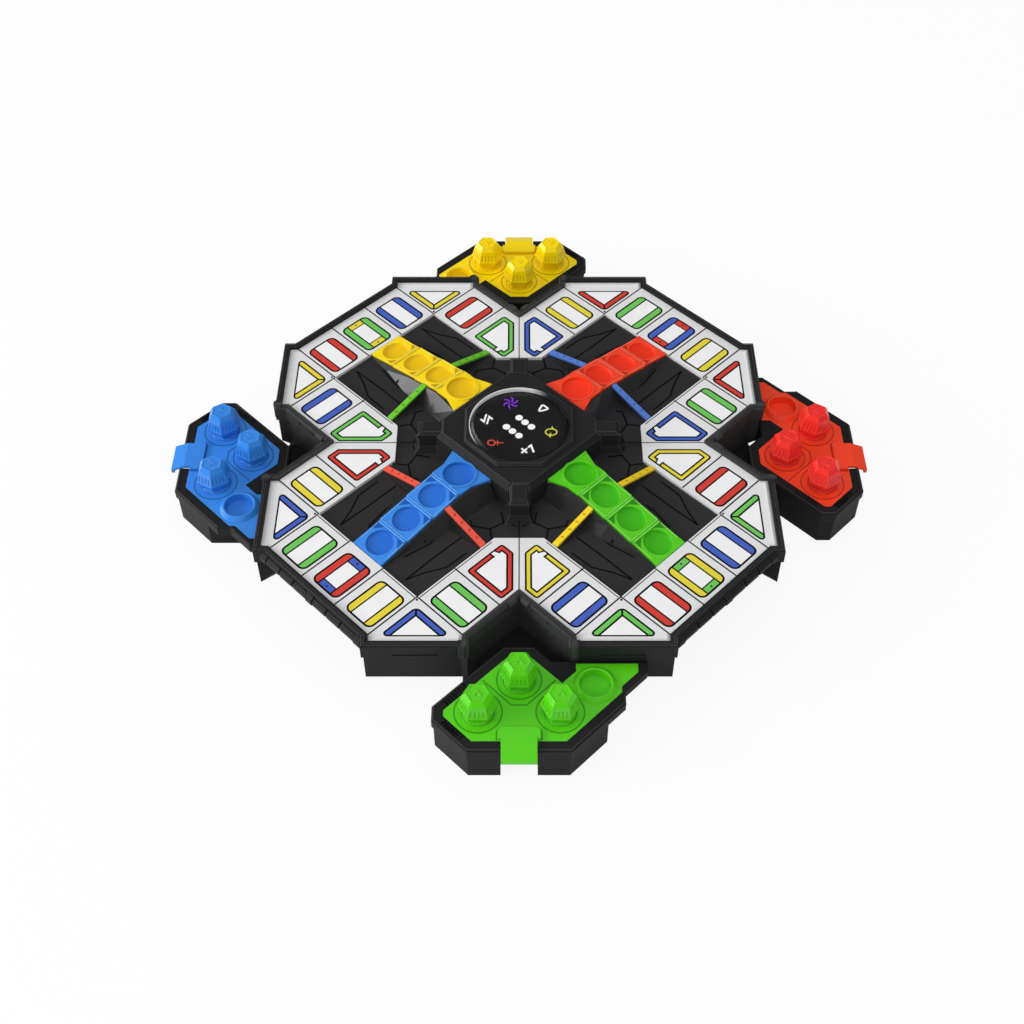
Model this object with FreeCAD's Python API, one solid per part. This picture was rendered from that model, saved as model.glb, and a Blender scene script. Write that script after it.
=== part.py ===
import FreeCAD, Part
import math
import os
from FreeCAD import Vector

os.makedirs("parts", exist_ok=True)

# Heights above the table, in millimetres
trackTop = 33.3
panelThick = 2.6
deckThick = 4.7
floorDrop = 1.5
legUndercut = 8.5
rimLip = 1.8
rimBand = 9.1

# Plan of the track, measured from the middle of the board
halfWidth = 130.0
notchDepth = 31.0
cornerNear = 27.2
cornerCut = 57.8
cornerStep = 4.1
seamInner = 65.5
cellWidth = 24.93
rowDepth = 32.4

# Walls and clearances
panelGap = 0.2
slideGap = 0.3
wallOut = 2.4
rimOut = 3.4
rimBevel = 0.9
grooveWidth = 0.8
grooveDepth = 0.5
slotDepth = 0.6
sideSlotHalf = 11.0
sideSlotLow = 1.2
sideSlotHigh = 2.8
notchSlotHalf = 1.6
notchSlotTop = 2.2
notchSlotFoot = 4.8
notchSlotShares = (0.35, 0.62)
lightSides = 18

# Cutting shapes reach this far past what they cut
past = 1.0

# Legs of the arms
legInner = 58.0
footFront = 4.0
footNotch = 3.0

# Grip along the diagonal side
barrelRadius = 2.7
knuckleRadius = 3.4
knuckleLength = 4.6
barrelCount = 3
barrelGap = 0.5
barrelSink = 0.4
barrelSides = 8
gripDrop = 4.6

# Posts at the rim's corners and hinge knuckles beside the notch
cornerPostRadius = 2.4
cornerPostOut = 1.9
cornerPostRise = 0.7
hingeRadius = 2.0
hingeStart = 5.2
hingeLength = 5.0
hingeDrop = 1.6

# Home runways: rising tiles of equal length and a level one beside the dice unit
tileCount = 3
tileStep = 0.9
stepRun = 4.0
tileJog = 0.5
runwayHalf = 10.5
runwayThick = 3.0
runwayRise = 0.178
runwayInner = 35.0
levelLength = 18.4
fishtailHalf = 14.2
fishtailLength = 10.0
socketMargin = 1.45
lastSocketExtra = 0.4
socketDepth = 2.0
collarWide = 1.6
collarHigh = 0.6

# Skirts that carry the runways: share of the way from the track to the dice unit, and half width at the toe
skirtToes = [(0.005, 11.7), (0.16, 12.6), (0.45, 17.5), (0.765, 18.5), (0.99, 19.5)]
skirtWall = 0.9
skirtDrop = 1.2
skirtNotch = [(26.7, 13.4), (21.2, 18.5), (28.2, 18.5)]

# Straps across the arms
barWidth = 3.2
barThick = 1.6
barEndRise = 0.3
barSlack = 0.1

# Dice unit in the middle
unitApothem = 34.6
unitTopApothem = 32.0
unitCorner = 43.2
unitTopCorner = 40.2
unitDraft = 0.8
unitHeight = 13.0
unitCrown = 3.0
collarApothem = 28.9
collarHeight = 1.7
collarBevel = 1.0
domeRadius = 26.6
domeStandOut = 0.9
domeRise = 2.0
domeBevel = 2.4
domeWall = 1.4
domeTravel = 1.5
lensThick = 1.6
discThick = 1.3
printGap = 0.2
flangeWidth = 1.6
flangeThick = 1.5
topPlate = 1.5
plungerRadius = 3.6
boardHalf = 18.0
boardThick = 1.6
boardLift = 3.7
switchHalf = 3.1
switchHeight = 4.0
switchCap = 0.8
soundHole = 8.0
postRoot = 40.6
postFar = 53.5
postHalf = 5.0
postFlare = 2.2
postFootHeight = 4.0
postCapHeight = 4.2
postCapBevel = 1.3
postTopDrop = 0.5
postShaftIn = 0.3

# Base pod with the loudspeaker and the batteries
podApothem = 42.0
podCorner = 49.0
cellRadius = 7.25
cellLength = 50.5
cellGap = 0.4
cellCount = 3
bayWall = 1.5
doorThick = 2.0
doorLedge = 2.5
speakerRadius = 16.0
speakerThick = 3.0
magnetRadius = 8.0
magnetThick = 3.0

# Trays that park in the notches, drawn at the near side of the board
trayHeight = 22.3
trayFrontHalf = 24.3
traySide = 41.0
trayRim = 5.6
trayBand = 5.6
trayInset = 0.9
trayBevel = 0.8
wingStep = 50.3
wingTip = 61.5
wingStepRim = 1.7
wingLineRim = 3.0
wingRim = 4.6
wingEdgeRim = 1.6
wingThick = 7.0
wingFrom = 42.0
wingInner = 27.2
plateThick = 5.0
plateGap = 0.2
traySocketDepth = 3.5
startCollarWide = 0.8
startCollarFoot = 2.6
startCollarHigh = 2.0
socketSpread = 19.2
startSocketX = 36.0
frontVents = 6
sideVents = 5
ventPitch = 1.25
ventHalf = 0.45
ventLength = 3.0
ventDepth = 0.8
ventFrontInset = 5.1
ventSideInset = 15.3

# How far the trays' lines lie beyond the board's half width, or short of it
trayFrontOut = 52.5
trayApexShort = 5.5
trayPeakShort = 13.0
wingShoulderOut = 19.7
wingValleyOut = 8.6
socketRowOut = 31.3
apexSocketOut = 13.6
startSocketOut = 16.5

# Nose of each tray, a low block that reaches into the notch
noseHigh = 10.0
noseHalf = 19.5
noseFlat = 1.5
noseGap = 0.6

# Tongue over the front wall of each tray
tabHalf = 8.4
tabThick = 1.6
tabOverhang = 4.5
tabDrop = 3.7
tabCreaseInset = 2.6
tabSlope = 2.6
tabHeadHalf = 10.0
tabHeadInset = 6.1
tabHeadDepth = 6.3
tabHeadCorner = 1.7
tabSlotDepth = 7.0

# Pawns: slack of the foot's corners in the home and tray sockets, and height of the foot above the tray
pawnSlack = 0.2
traySlack = 0.4
pawnFlare = 0.8

# Height above the tray and corner radius of the pawn's cheeks and crown
pawnSides = 6
pawnCheek = (6.0, 9.6)
pawnCrown = (16.0, 6.2)

root2 = math.sqrt(2.0)
deckTop = trackTop - panelThick
deckBottom = deckTop - deckThick
floorTop = trackTop - floorDrop
unitTop = trackTop + unitHeight
unitShoulder = unitTop - unitCrown
collarTop = unitTop + collarHeight
domeEdge = unitTop + domeStandOut
domeCrown = domeEdge + domeRise
lensUnder = domeEdge - lensThick
boardLevel = floorTop + boardLift
rimTop = trackTop + rimLip
rimBottom = rimTop - rimBand
notchSide = (halfWidth - notchDepth) / root2
cornerFar = halfWidth - cornerCut
innerSide = 1.5 * cellWidth
armTurns = {"red": 45, "yellow": 135, "blue": 225, "green": 315}
trayEdge = halfWidth + wallOut + slideGap
trayTurns = {"green": 0, "red": 90, "yellow": 180, "blue": 270}
trayFront = halfWidth + trayFrontOut
trayApex = halfWidth - trayApexShort
trayPeak = halfWidth - trayPeakShort
wingShoulder = halfWidth + wingShoulderOut
wingValley = halfWidth + wingValleyOut
socketRow = halfWidth + socketRowOut
apexSocket = halfWidth + apexSocketOut
startSocketY = halfWidth + startSocketOut
noseTip = halfWidth - notchDepth + (wallOut + noseGap) * root2
tabReach = trayFront + tabOverhang
tabHeadFront = trayFront - tabHeadInset
tabHeadBack = tabHeadFront - tabHeadDepth
tabCrease = trayFront - tabCreaseInset
tabEnd = trayHeight - tabDrop


def save(name, shape):
    shape.removeSplitter().exportStep("parts/" + name + ".step")


def loop(points):
    return Part.makePolygon(points + points[:1])


def atHeight(points, z):
    return [Vector(x, y, z) for x, y in points]


def across(points, u):
    """Points given as (v, z) at one distance u from the middle of the board."""
    return [Vector(u, v, z) for v, z in points]


def prism(points, low, high):
    return Part.Face(loop(atHeight(points, low))).extrude(Vector(0, 0, high - low))


def skin(rings):
    """Solid with flat faces through rings of points; every ring has as many points as the next."""
    faces = [Part.Face(loop(rings[0])), Part.Face(loop(rings[-1]))]
    for lower, upper in zip(rings, rings[1:]):
        for n in range(len(lower)):
            after = (n + 1) % len(lower)
            a, b, c, d = lower[n], lower[after], upper[after], upper[n]
            if abs((b - a).cross(c - a).normalize().dot(d - a)) < 1e-6:
                faces.append(Part.Face(loop([a, b, c, d])))
            else:
                faces += [Part.Face(loop([a, b, c])), Part.Face(loop([a, c, d]))]
    solid = Part.Solid(Part.Shell(faces))
    return solid if solid.Volume > 0 else solid.reversed()


def tapered(sections):
    return skin([atHeight(points, z) for points, z in sections])


def box(xLow, xHigh, yLow, yHigh, low, high):
    return Part.makeBox(xHigh - xLow, yHigh - yLow, high - low, Vector(xLow, yLow, low))


def disc(radius, low, high, x=0.0, y=0.0):
    return Part.makeCylinder(radius, high - low, Vector(x, y, low))


def lightDisc(radius, low, high, x=0.0, y=0.0):
    """Disc with flat sides, for round forms that repeat or stay hidden, so that their meshes stay small."""
    ring = [(x + dx, y + dy) for dx, dy in polygonRing(lightSides, radius)]
    return prism(ring, low, high)


def bar(radius, start, length, direction):
    """Bar with flat sides along a direction."""
    ring = [Vector(*point, 0) for point in flatRing(barrelSides, radius)]
    solid = Part.Face(loop(ring)).extrude(Vector(0, 0, length))
    solid.Placement = FreeCAD.Placement(start, FreeCAD.Rotation(Vector(0, 0, 1), direction))
    return solid


def fuse(shapes):
    return shapes[0].multiFuse(shapes[1:]) if len(shapes) > 1 else shapes[0]


def cut(shape, tools):
    return shape.cut(fuse(tools))


def turned(shape, angle):
    copy = shape.copy()
    copy.rotate(Vector(0, 0, 0), Vector(0, 0, 1), angle)
    return copy


def moved(shape, x, y, z=0.0):
    copy = shape.copy()
    copy.translate(Vector(x, y, z))
    return copy


def mirrored(shape):
    return shape.mirror(Vector(0, 0, 0), Vector(0, 1, 0))


def mirrorAcross(points):
    return [(x, -y) for x, y in reversed(points)]


def toArm(x, y):
    """Plan point of the upper right quarter in the frame of its arm, which points along +X."""
    return ((x + y) / root2, (y - x) / root2)


def offset(points, distances):
    """Outline moved outwards, edge by edge; edge n runs from point n to point n + 1, anticlockwise."""
    lines = []
    for n, (x, y) in enumerate(points):
        nextX, nextY = points[(n + 1) % len(points)]
        length = math.hypot(nextX - x, nextY - y)
        alongX, alongY = (nextX - x) / length, (nextY - y) / length
        lines.append((x + alongY * distances[n], y - alongX * distances[n], alongX, alongY))
    result = []
    for n in range(len(lines)):
        x1, y1, dx1, dy1 = lines[n - 1]
        x2, y2, dx2, dy2 = lines[n]
        step = ((x2 - x1) * dy2 - (y2 - y1) * dx2) / (dx1 * dy2 - dy1 * dx2)
        result.append((x1 + dx1 * step, y1 + dy1 * step))
    return result


def grown(points, distance):
    return offset(points, [distance] * len(points))


def polygonRing(sides, radius, turn=0.0):
    angles = [math.radians(turn + 360.0 * n / sides) for n in range(sides)]
    return [(radius * math.cos(angle), radius * math.sin(angle)) for angle in angles]


def flatRing(sides, apothem):
    """Regular outline with a flat side towards each axis."""
    return polygonRing(sides, apothem / math.cos(math.pi / sides), 180.0 / sides)


def bevelled(points, low, high, bevel):
    """Prism whose upper edge is bevelled all round."""
    return fuse([
        prism(points, low, high - bevel),
        tapered([(points, high - bevel), (grown(points, -bevel), high)]),
    ])


# Outline of one arm's track, anticlockwise, and of the floor inside it
outerEdge = (cornerFar + halfWidth - cornerStep) / root2
outerHalf = (halfWidth - cornerStep - cornerFar) / root2
innerEnd = outerEdge - rowDepth
seamPoint = seamInner / root2
innerChamfer = 2 * seamPoint - innerSide
centreSquare = 14.0
upperOuter = [
    (outerEdge, outerHalf),
    toArm(cornerFar, halfWidth),
    toArm(cornerNear, halfWidth),
    (cornerNear * root2 + notchSide, notchSide),
    (notchSide, notchSide),
]
upperInner = [(seamPoint, seamPoint), (innerChamfer, innerSide), (innerEnd, innerSide)]
centreCut = [(centreSquare, centreSquare), (centreSquare, -centreSquare)]
armOutline = upperOuter + centreCut + mirrorAcross(upperOuter)
trackOutline = upperOuter + upperInner + mirrorAcross(upperOuter + upperInner)
levelFrom = runwayInner + levelLength
tilePitch = (innerEnd - levelFrom) / tileCount
socketRadius = tilePitch / 2 - socketMargin
lastSocketRadius = socketRadius + lastSocketExtra
pawnRadius = socketRadius - pawnSlack
traySocketRadius = pawnRadius + traySlack


def armEdges(out, seam=0.0):
    """Distances for the arm's outline: one for the outside and one for the seams with the other arms."""
    return [out] * 4 + [seam] * 3 + [out] * 5


def rampTop(u):
    """Mean height of the runway's surface at a distance from the middle of the board."""
    return trackTop + runwayRise * (innerEnd - max(u, levelFrom))


def armBody():
    """Black arch of one arm: a deck on two legs, with the passage under the outer row left open."""
    deck = prism(armOutline, deckBottom, deckTop)
    outerCorner = toArm(cornerFar + wallOut, halfWidth + wallOut)
    leg = [
        (legInner, outerCorner[1]),
        outerCorner,
        toArm(cornerNear - wallOut, halfWidth + wallOut),
        ((cornerNear - wallOut) * root2 + notchSide + wallOut, notchSide + wallOut),
        (notchSide + wallOut, notchSide + wallOut),
        (legInner, legInner),
    ]
    foot = offset(leg, [-footFront, -legUndercut, -footNotch, 0.0, 0.0, 0.0])
    upper = fuse([tapered([(foot, 0.0), (leg, legUndercut)]), prism(leg, legUndercut, deckBottom)])
    return cut(fuse([deck, upper, mirrored(upper)]), [runwaySpace()])


def rimFrame():
    """Raised black rim round the arm's outer edge, with the ribbed grip along the diagonal side."""
    outside = offset(armOutline, armEdges(rimOut))
    top = offset(armOutline, armEdges(rimOut - rimBevel))
    body = fuse([
        prism(outside, rimBottom, rimTop - rimBevel),
        tapered([(outside, rimTop - rimBevel), (top, rimTop)]),
    ] + gripBarrels() + cornerKnuckles())
    inside = offset(armOutline, armEdges(0.0, past))
    long = box(-sideSlotHalf, sideSlotHalf, -slotDepth, rimOut,
               rimBottom + sideSlotLow, rimBottom + sideSlotHigh)
    long.rotate(Vector(0, 0, 0), Vector(0, 0, 1), -45)
    slots = [moved(long, *toArm((cornerNear + cornerFar) / 2, halfWidth + rimOut))]
    for share in notchSlotShares:
        u = notchSide + cornerNear * root2 * share
        slots.append(box(u - notchSlotHalf, u + notchSlotHalf, notchSide + rimOut - slotDepth,
                         notchSide + 2 * rimOut, rimTop - notchSlotFoot, rimTop - notchSlotTop))
    space = prism(inside, rimBottom - past, rimTop + past)
    return cut(body, [space] + slots + [mirrored(slot) for slot in slots])


def gripBarrels():
    """Barrels and knuckles of the grip, in line along the diagonal side."""
    level = rimTop - gripDrop
    edge = outerEdge + rimOut - barrelSink
    knuckleEdge = edge - barrelSink
    pitch = (outerHalf - knuckleLength - knuckleLength / 2) / barrelCount
    middle = Vector(knuckleEdge, -knuckleLength / 2, level)
    barrels = [bar(knuckleRadius, middle, knuckleLength, Vector(0, 1, 0))]
    for side in (1, -1):
        along = Vector(0, side, 0)
        for n in range(barrelCount):
            start = side * (knuckleLength / 2 + barrelGap + n * pitch)
            barrels.append(bar(barrelRadius, Vector(edge, start, level), pitch - 2 * barrelGap, along))
        end = side * (outerHalf - knuckleLength)
        barrels.append(bar(knuckleRadius, Vector(knuckleEdge, end, level), knuckleLength, along))
    return barrels


def cornerKnuckles():
    """Upright posts at the corners beside the notches, and short barrels next to the notch's apex."""
    x, y = toArm(cornerNear, halfWidth + cornerPostOut)
    ring = [(x + dx, y + dy) for dx, dy in flatRing(barrelSides, cornerPostRadius)]
    post = prism(ring, rimBottom, rimTop + cornerPostRise)
    edge = notchSide + rimOut - barrelSink
    start = Vector(notchSide + hingeStart, edge - barrelSink, rimTop - hingeDrop)
    barrel = bar(hingeRadius, start, hingeLength, Vector(1, 0, 0))
    return [post, mirrored(post), barrel, mirrored(barrel)]


def trackPanel():
    """White panel of nine cells; the grooves between the cells are cut into it."""
    panel = prism(grown(trackOutline, -panelGap), deckTop, trackTop)
    low, high = trackTop - grooveDepth, trackTop + past
    half = grooveWidth / 2
    grooves = []
    for side in (1, -1):
        near, far = sorted((side * innerSide, side * (notchSide + past)))
        for u in (innerEnd, innerEnd - cellWidth):
            grooves.append(box(u - half, u + half, near, far, low, high))
        for v in (side * innerSide, side * cellWidth / 2):
            grooves.append(box(innerEnd, outerEdge + past, v - half, v + half, low, high))
    return cut(panel, grooves)


def runwayPlan(clearance):
    """Outline of the runway in plan: tiles that narrow inwards, the last one with a fishtail."""
    half = [(innerEnd - panelGap, runwayHalf)]
    for n in range(1, tileCount + 1):
        u = innerEnd - n * tilePitch
        half += [(u, runwayHalf - tileJog), (u - tileJog, runwayHalf)]
    half += [(runwayInner + fishtailLength, runwayHalf), (runwayInner, fishtailHalf)]
    return grown(half + mirrorAcross(half), clearance)


def runwayBelow():
    """Line under the runway, from its outer end inwards, as (distance, height)."""
    outer, inner = innerEnd + past, runwayInner - past
    return [(outer, rampTop(outer) - runwayThick), (levelFrom, rampTop(levelFrom) - runwayThick),
            (inner, rampTop(levelFrom) - runwayThick)]


def runwaySlab(top, clearance):
    """Solid between the line under the runway and a line above it, inside the runway's plan."""
    half = fishtailHalf + past
    face = Part.Face(loop([Vector(u, -half, z) for u, z in top + runwayBelow()[::-1]]))
    return face.extrude(Vector(0, 2 * half, 0)).common(prism(runwayPlan(clearance), deckBottom, unitTop))


def runwaySpace():
    """Channel that takes the runway: its plan with a gap all round, from its underside upwards."""
    return runwaySlab([(innerEnd + past, unitTop), (runwayInner - past, unitTop)], panelGap)


def runway():
    """Coloured home runway: shingled tiles that climb to the dice unit, with a socket in each."""
    tileRise = runwayRise * tilePitch
    top = [(innerEnd + past, trackTop)]
    for n in range(tileCount):
        outer = innerEnd - n * tilePitch
        inner = outer - tilePitch
        level = trackTop + n * tileRise
        top += [(inner + stepRun, level + tileRise - tileStep), (inner, level + tileRise)]
    top.append((runwayInner - past, rampTop(levelFrom)))
    slab = runwaySlab(top, 0.0)
    tilt = math.degrees(math.atan((tileRise - tileStep) / (tilePitch - stepRun)))
    collars = []
    sockets = []
    for n in range(tileCount + 1):
        centre = innerEnd - (n + 0.5) * tilePitch
        last = n == tileCount
        radius = lastSocketRadius if last else socketRadius
        height = rampTop(levelFrom) if last else trackTop + n * tileRise + 0.5 * (tileRise - tileStep)
        turn = 0.0 if last else tilt
        for group, size, low, high in (
            (collars, radius + collarWide, -collarHigh, collarHigh),
            (sockets, radius, collarHigh - socketDepth, collarHigh + past),
        ):
            shape = lightDisc(size, low, high)
            shape.rotate(Vector(0, 0, 0), Vector(0, 1, 0), turn)
            group.append(moved(shape, centre, 0.0, height))
    return cut(fuse([slab] + collars[-1:]), sockets)


def barProfile():
    """Upper and lower lines of a strap across the arm, as (v, z), from one end to the other."""
    middle = innerEnd - (tileCount - 0.5) * tilePitch
    outer = innerSide - panelGap
    inner = runwayHalf + panelGap + barSlack
    ends = trackTop + barEndRise
    high = rampTop(middle) - skirtDrop + barThick / 2
    low = rampTop(middle + barWidth) - runwayThick - barSlack
    upper = [(-outer, ends), (-inner, high), (-inner, low), (inner, low), (inner, high), (outer, ends)]
    wide = inner + barThick
    lower = [(-outer, ends - barThick), (-wide, high - barThick), (-wide, low - barThick),
             (wide, low - barThick), (wide, high - barThick), (outer, ends - barThick)]
    return middle, upper, lower


def crossBar():
    """Strap that rises from the track on both sides and passes under the runway."""
    middle, upper, lower = barProfile()
    face = Part.Face(loop(across(upper + lower[::-1], middle - barWidth / 2)))
    return face.extrude(Vector(barWidth, 0, 0))


def valleyFloor():
    """Dark floor inside the ring, with the skirt that carries the runway and the ribs under the strap."""
    half = upperInner[::-1] + centreCut[:1]
    edges = [-panelGap] * 2 + [0.0] * 3 + [-panelGap] * 3
    plate = prism(offset(half + mirrorAcross(half), edges), deckTop, floorTop)
    rings = []
    for share, toe in skirtToes:
        u = innerEnd - share * (innerEnd - runwayInner)
        shoulder = runwayHalf + skirtWall
        if u < runwayInner + fishtailLength / 2:
            shoulder = fishtailHalf - skirtWall / 2
        low, high = deckTop + panelGap, rampTop(u) - skirtDrop
        rings.append(across([(-toe, low), (toe, low), (shoulder, high), (-shoulder, high)], u))
    skirt = skin(rings)
    middle, upper, lower = barProfile()
    ribHalf = barWidth / 2 - barSlack
    ribs = []
    for ends in (lower[:2], lower[-2:]):
        outline = ends + [(ends[1][0], deckTop + panelGap), (ends[0][0], deckTop + panelGap)]
        face = Part.Face(loop(across(outline, middle - ribHalf)))
        ribs.append(face.extrude(Vector(2 * ribHalf, 0, 0)))
    space = Part.Face(loop(across(upper + lower[::-1], middle - barWidth / 2 - barSlack)))
    space = space.extrude(Vector(barWidth + 2 * barSlack, 0, 0))
    notch = prism([(innerEnd - back, v) for back, v in skirtNotch], floorTop, unitTop)
    return cut(fuse([plate, skirt] + ribs), [runwaySpace(), space, notch, mirrored(notch)])


def unitOctagon(apothem, corner):
    """Square set on its corner with its four corners cut square to the board's axes."""
    reach = apothem * root2 - corner
    return [(corner, -reach), (corner, reach), (reach, corner), (-reach, corner),
            (-corner, reach), (-corner, -reach), (-reach, -corner), (reach, -corner)]


def housingPost():
    """Post at the +X corner of the dice unit: flared foot, shaft and a bevelled cap."""
    def outline(half, far):
        return [(postRoot, -half), (far, -half), (far, half), (postRoot, half)]

    capTop = unitTop - postTopDrop
    capLow = capTop - postCapHeight
    shaft = outline(postHalf - postShaftIn, postFar - 2 * postShaftIn)
    return fuse([
        tapered([(outline(postHalf + postFlare, postFar + postFlare), floorTop),
                 (shaft, floorTop + postFootHeight)]),
        prism(shaft, floorTop + postFootHeight, capLow),
        prism(outline(postHalf, postFar), capLow, capTop - postCapBevel),
        tapered([(outline(postHalf, postFar), capTop - postCapBevel),
                 (outline(postHalf - postCapBevel, postFar - 2 * postCapBevel), capTop)]),
    ])


def diceHousing():
    """Moulded housing of the dice unit with a round well for the press dome and a post at each corner."""
    foot = unitOctagon(unitApothem + unitDraft, unitCorner + unitDraft)
    wall = unitOctagon(unitApothem, unitCorner)
    crown = unitOctagon(unitTopApothem, unitTopCorner)
    outer = tapered([(foot, floorTop), (wall, unitShoulder), (crown, unitTop)])
    posts = [turned(housingPost(), 90 * n) for n in range(4)]
    wells = [
        prism(flatRing(lightSides, domeRadius + flangeWidth + slideGap), boardLevel, unitTop - topPlate),
        disc(domeRadius + slideGap, unitTop - topPlate - past, unitTop + past),
        lightDisc(soundHole, floorTop - past, boardLevel + past),
    ]
    return cut(fuse([outer] + posts), wells)


def displayCollar():
    """Eight-sided raised collar round the press dome."""
    ring = bevelled(flatRing(8, collarApothem), unitTop, collarTop, collarBevel)
    return ring.cut(disc(domeRadius + slideGap, unitTop - past, collarTop + past))


def pressDome():
    """Clear lens with a bevelled edge, on a flange that holds it under the housing's top."""
    flangeTop = unitTop - topPlate - slideGap
    flangeLow = flangeTop - flangeThick
    profile = [
        (0.0, domeCrown), (domeRadius - domeBevel, domeCrown), (domeRadius, domeEdge),
        (domeRadius, flangeTop), (0.0, flangeTop),
    ]
    face = Part.Face(loop([Vector(x, 0, z) for x, z in profile]))
    lens = face.revolve(Vector(0, 0, 0), Vector(0, 0, 1), 360)
    flange = lightDisc(domeRadius + flangeWidth, flangeLow, flangeTop)
    hollow = prism(flatRing(lightSides, domeRadius - domeWall), flangeLow - past, lensUnder)
    return cut(fuse([lens, flange]), [hollow])


def displayDisc():
    """Round display under the lens, with the plunger that reaches for the switch."""
    top = lensUnder - printGap
    plungerEnd = boardLevel + boardThick + switchHeight + domeTravel + slideGap
    return fuse([
        prism(flatRing(lightSides, domeRadius - domeWall - panelGap), top - discThick, top),
        lightDisc(plungerRadius, plungerEnd, top - discThick),
    ])


def circuitBoard():
    return prism(flatRing(8, boardHalf), boardLevel, boardLevel + boardThick)


def pressSwitch():
    top = boardLevel + boardThick
    body = box(-switchHalf, switchHalf, -switchHalf, switchHalf, top, top + switchHeight - switchCap)
    return fuse([body, lightDisc(switchHalf / 2, top + switchHeight - switchCap, top + switchHeight)])


podBayTop = doorThick + 2 * cellRadius + cellGap
chamberFloor = podBayTop + bayWall


def speaker():
    """Loudspeaker that lies in the pod's chamber: magnet below, basket above."""
    low = chamberFloor
    return fuse([lightDisc(magnetRadius, low, low + magnetThick),
                 lightDisc(speakerRadius, low + magnetThick, low + magnetThick + speakerThick)])


def bayHalf():
    return cellCount * (cellRadius + cellGap / 2) + bayWall


def podBase():
    """Battery pod under the middle of the board, with a bay that opens at its underside."""
    shape = prism(unitOctagon(podApothem, podCorner), 0.0, deckBottom)
    endHalf = cellLength / 2 + bayWall
    bay = box(-endHalf, endHalf, -bayHalf(), bayHalf(), -past, podBayTop)
    seat = box(-endHalf - doorLedge, endHalf + doorLedge, -bayHalf() - doorLedge, bayHalf() + doorLedge,
               -past, doorThick)
    chamber = lightDisc(speakerRadius + slideGap, chamberFloor, deckBottom + past)
    return cut(shape, [bay, seat, chamber])


def batteryDoor():
    endHalf = cellLength / 2 + bayWall + doorLedge - panelGap
    sideHalf = bayHalf() + doorLedge - panelGap
    return box(-endHalf, endHalf, -sideHalf, sideHalf, 0.0, doorThick)


def batteryCells():
    pitch = 2 * cellRadius + cellGap
    cell = lightDisc(cellRadius, -cellLength / 2, cellLength / 2)
    cell.rotate(Vector(0, 0, 0), Vector(0, 1, 0), 90)
    places = [(n - (cellCount - 1) / 2) * pitch for n in range(cellCount)]
    return Part.makeCompound([moved(cell, 0.0, y, doorThick + cellRadius) for y in places])


# Tray outlines, anticlockwise, with the board towards +Y
frontLine = trayFront + trayFrontHalf
trayOutline = [
    (-trayFrontHalf, -trayFront), (trayFrontHalf, -trayFront),
    (wingStep, wingStep - frontLine), (wingStep, -wingShoulder),
    (wingTip, wingTip - wingStep - wingShoulder), (wingTip, -trayEdge),
    (trayEdge - trayPeak, -trayEdge), (trayApex - trayPeak, -trayApex), (trayPeak - trayApex, -trayApex),
    (-traySide, -trayPeak - traySide), (-traySide, traySide - frontLine),
]
plateFront = trayFront - trayRim
plateLine = frontLine - trayRim * root2
plateSide = traySide - trayRim
plateApex = trayApex + trayRim
platePeak = trayPeak + trayRim * root2
plateStep = wingStep - wingStepRim
wingLine = wingShoulder + wingStep - wingLineRim * root2
valleyX = (wingValley + wingInner - platePeak) / 2
plateOutline = [
    (plateFront - plateLine, -plateFront), (plateLine - plateFront, -plateFront),
    (plateStep, plateStep - plateLine), (plateStep, plateStep - wingLine),
    (wingTip - wingRim, wingTip - wingRim - wingLine), (wingTip - wingRim, -trayEdge - wingEdgeRim),
    (wingInner, -trayEdge - wingEdgeRim), (wingInner, -wingValley), (valleyX, -platePeak - valleyX),
    (plateApex - platePeak, -plateApex), (platePeak - plateApex, -plateApex),
    (-plateSide, -platePeak - plateSide), (-plateSide, plateSide - plateLine),
]
pawnPlaces = [(-socketSpread, -socketRow), (socketSpread, -socketRow), (0.0, -apexSocket)]
startPlace = (startSocketX, -startSocketY)


def ventRow(x, y, count, direction):
    """Row of short slots across the tray's rim, which climbs away from the first one."""
    vents = []
    for n in range(count):
        vent = box(-ventHalf, ventHalf, -ventLength / 2, ventLength / 2,
                   trayHeight - ventDepth, trayHeight + past)
        vent.rotate(Vector(0, 0, 0), Vector(0, 0, 1), -45 * direction)
        vents.append(moved(vent, x - ventPitch * n, y + direction * ventPitch * n))
    return vents


def trayShell():
    """Black tray body with a recess for the plate, a slot for the tab, a nose and an undercut wing."""
    solid = fuse([
        prism(grown(trayOutline, -trayInset), 0.0, trayHeight - trayBand),
        bevelled(trayOutline, trayHeight - trayBand, trayHeight, trayBevel),
    ])
    recess = prism(grown(plateOutline, plateGap), trayHeight - plateThick, trayHeight + past)
    slot = box(-tabHalf - slideGap, tabHalf + slideGap, -trayFront - past, tabSlotDepth - trayFront,
               -past, trayHeight + past)
    under = box(wingFrom, wingTip + past, -trayFront, past - trayEdge, -past, trayHeight - wingThick)
    rear = trayPeak + noseHalf + trayRim
    nose = prism([
        (-noseHalf, -rear), (noseHalf, -rear), (noseHalf, -noseTip - noseHalf),
        (noseFlat, -noseTip - noseFlat), (-noseFlat, -noseTip - noseFlat), (-noseHalf, -noseTip - noseHalf),
    ], 0.0, noseHigh)
    rimMiddle = trayRim / 2
    frontX = -trayFrontHalf - ventFrontInset
    front = ventRow(frontX, -frontLine - frontX + rimMiddle * root2, frontVents, 1)
    sideX = -traySide + ventSideInset
    side = ventRow(sideX, -trayPeak + sideX - rimMiddle * root2, sideVents, -1)
    return cut(fuse([solid, nose]), [recess, slot, under] + front + side)


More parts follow.
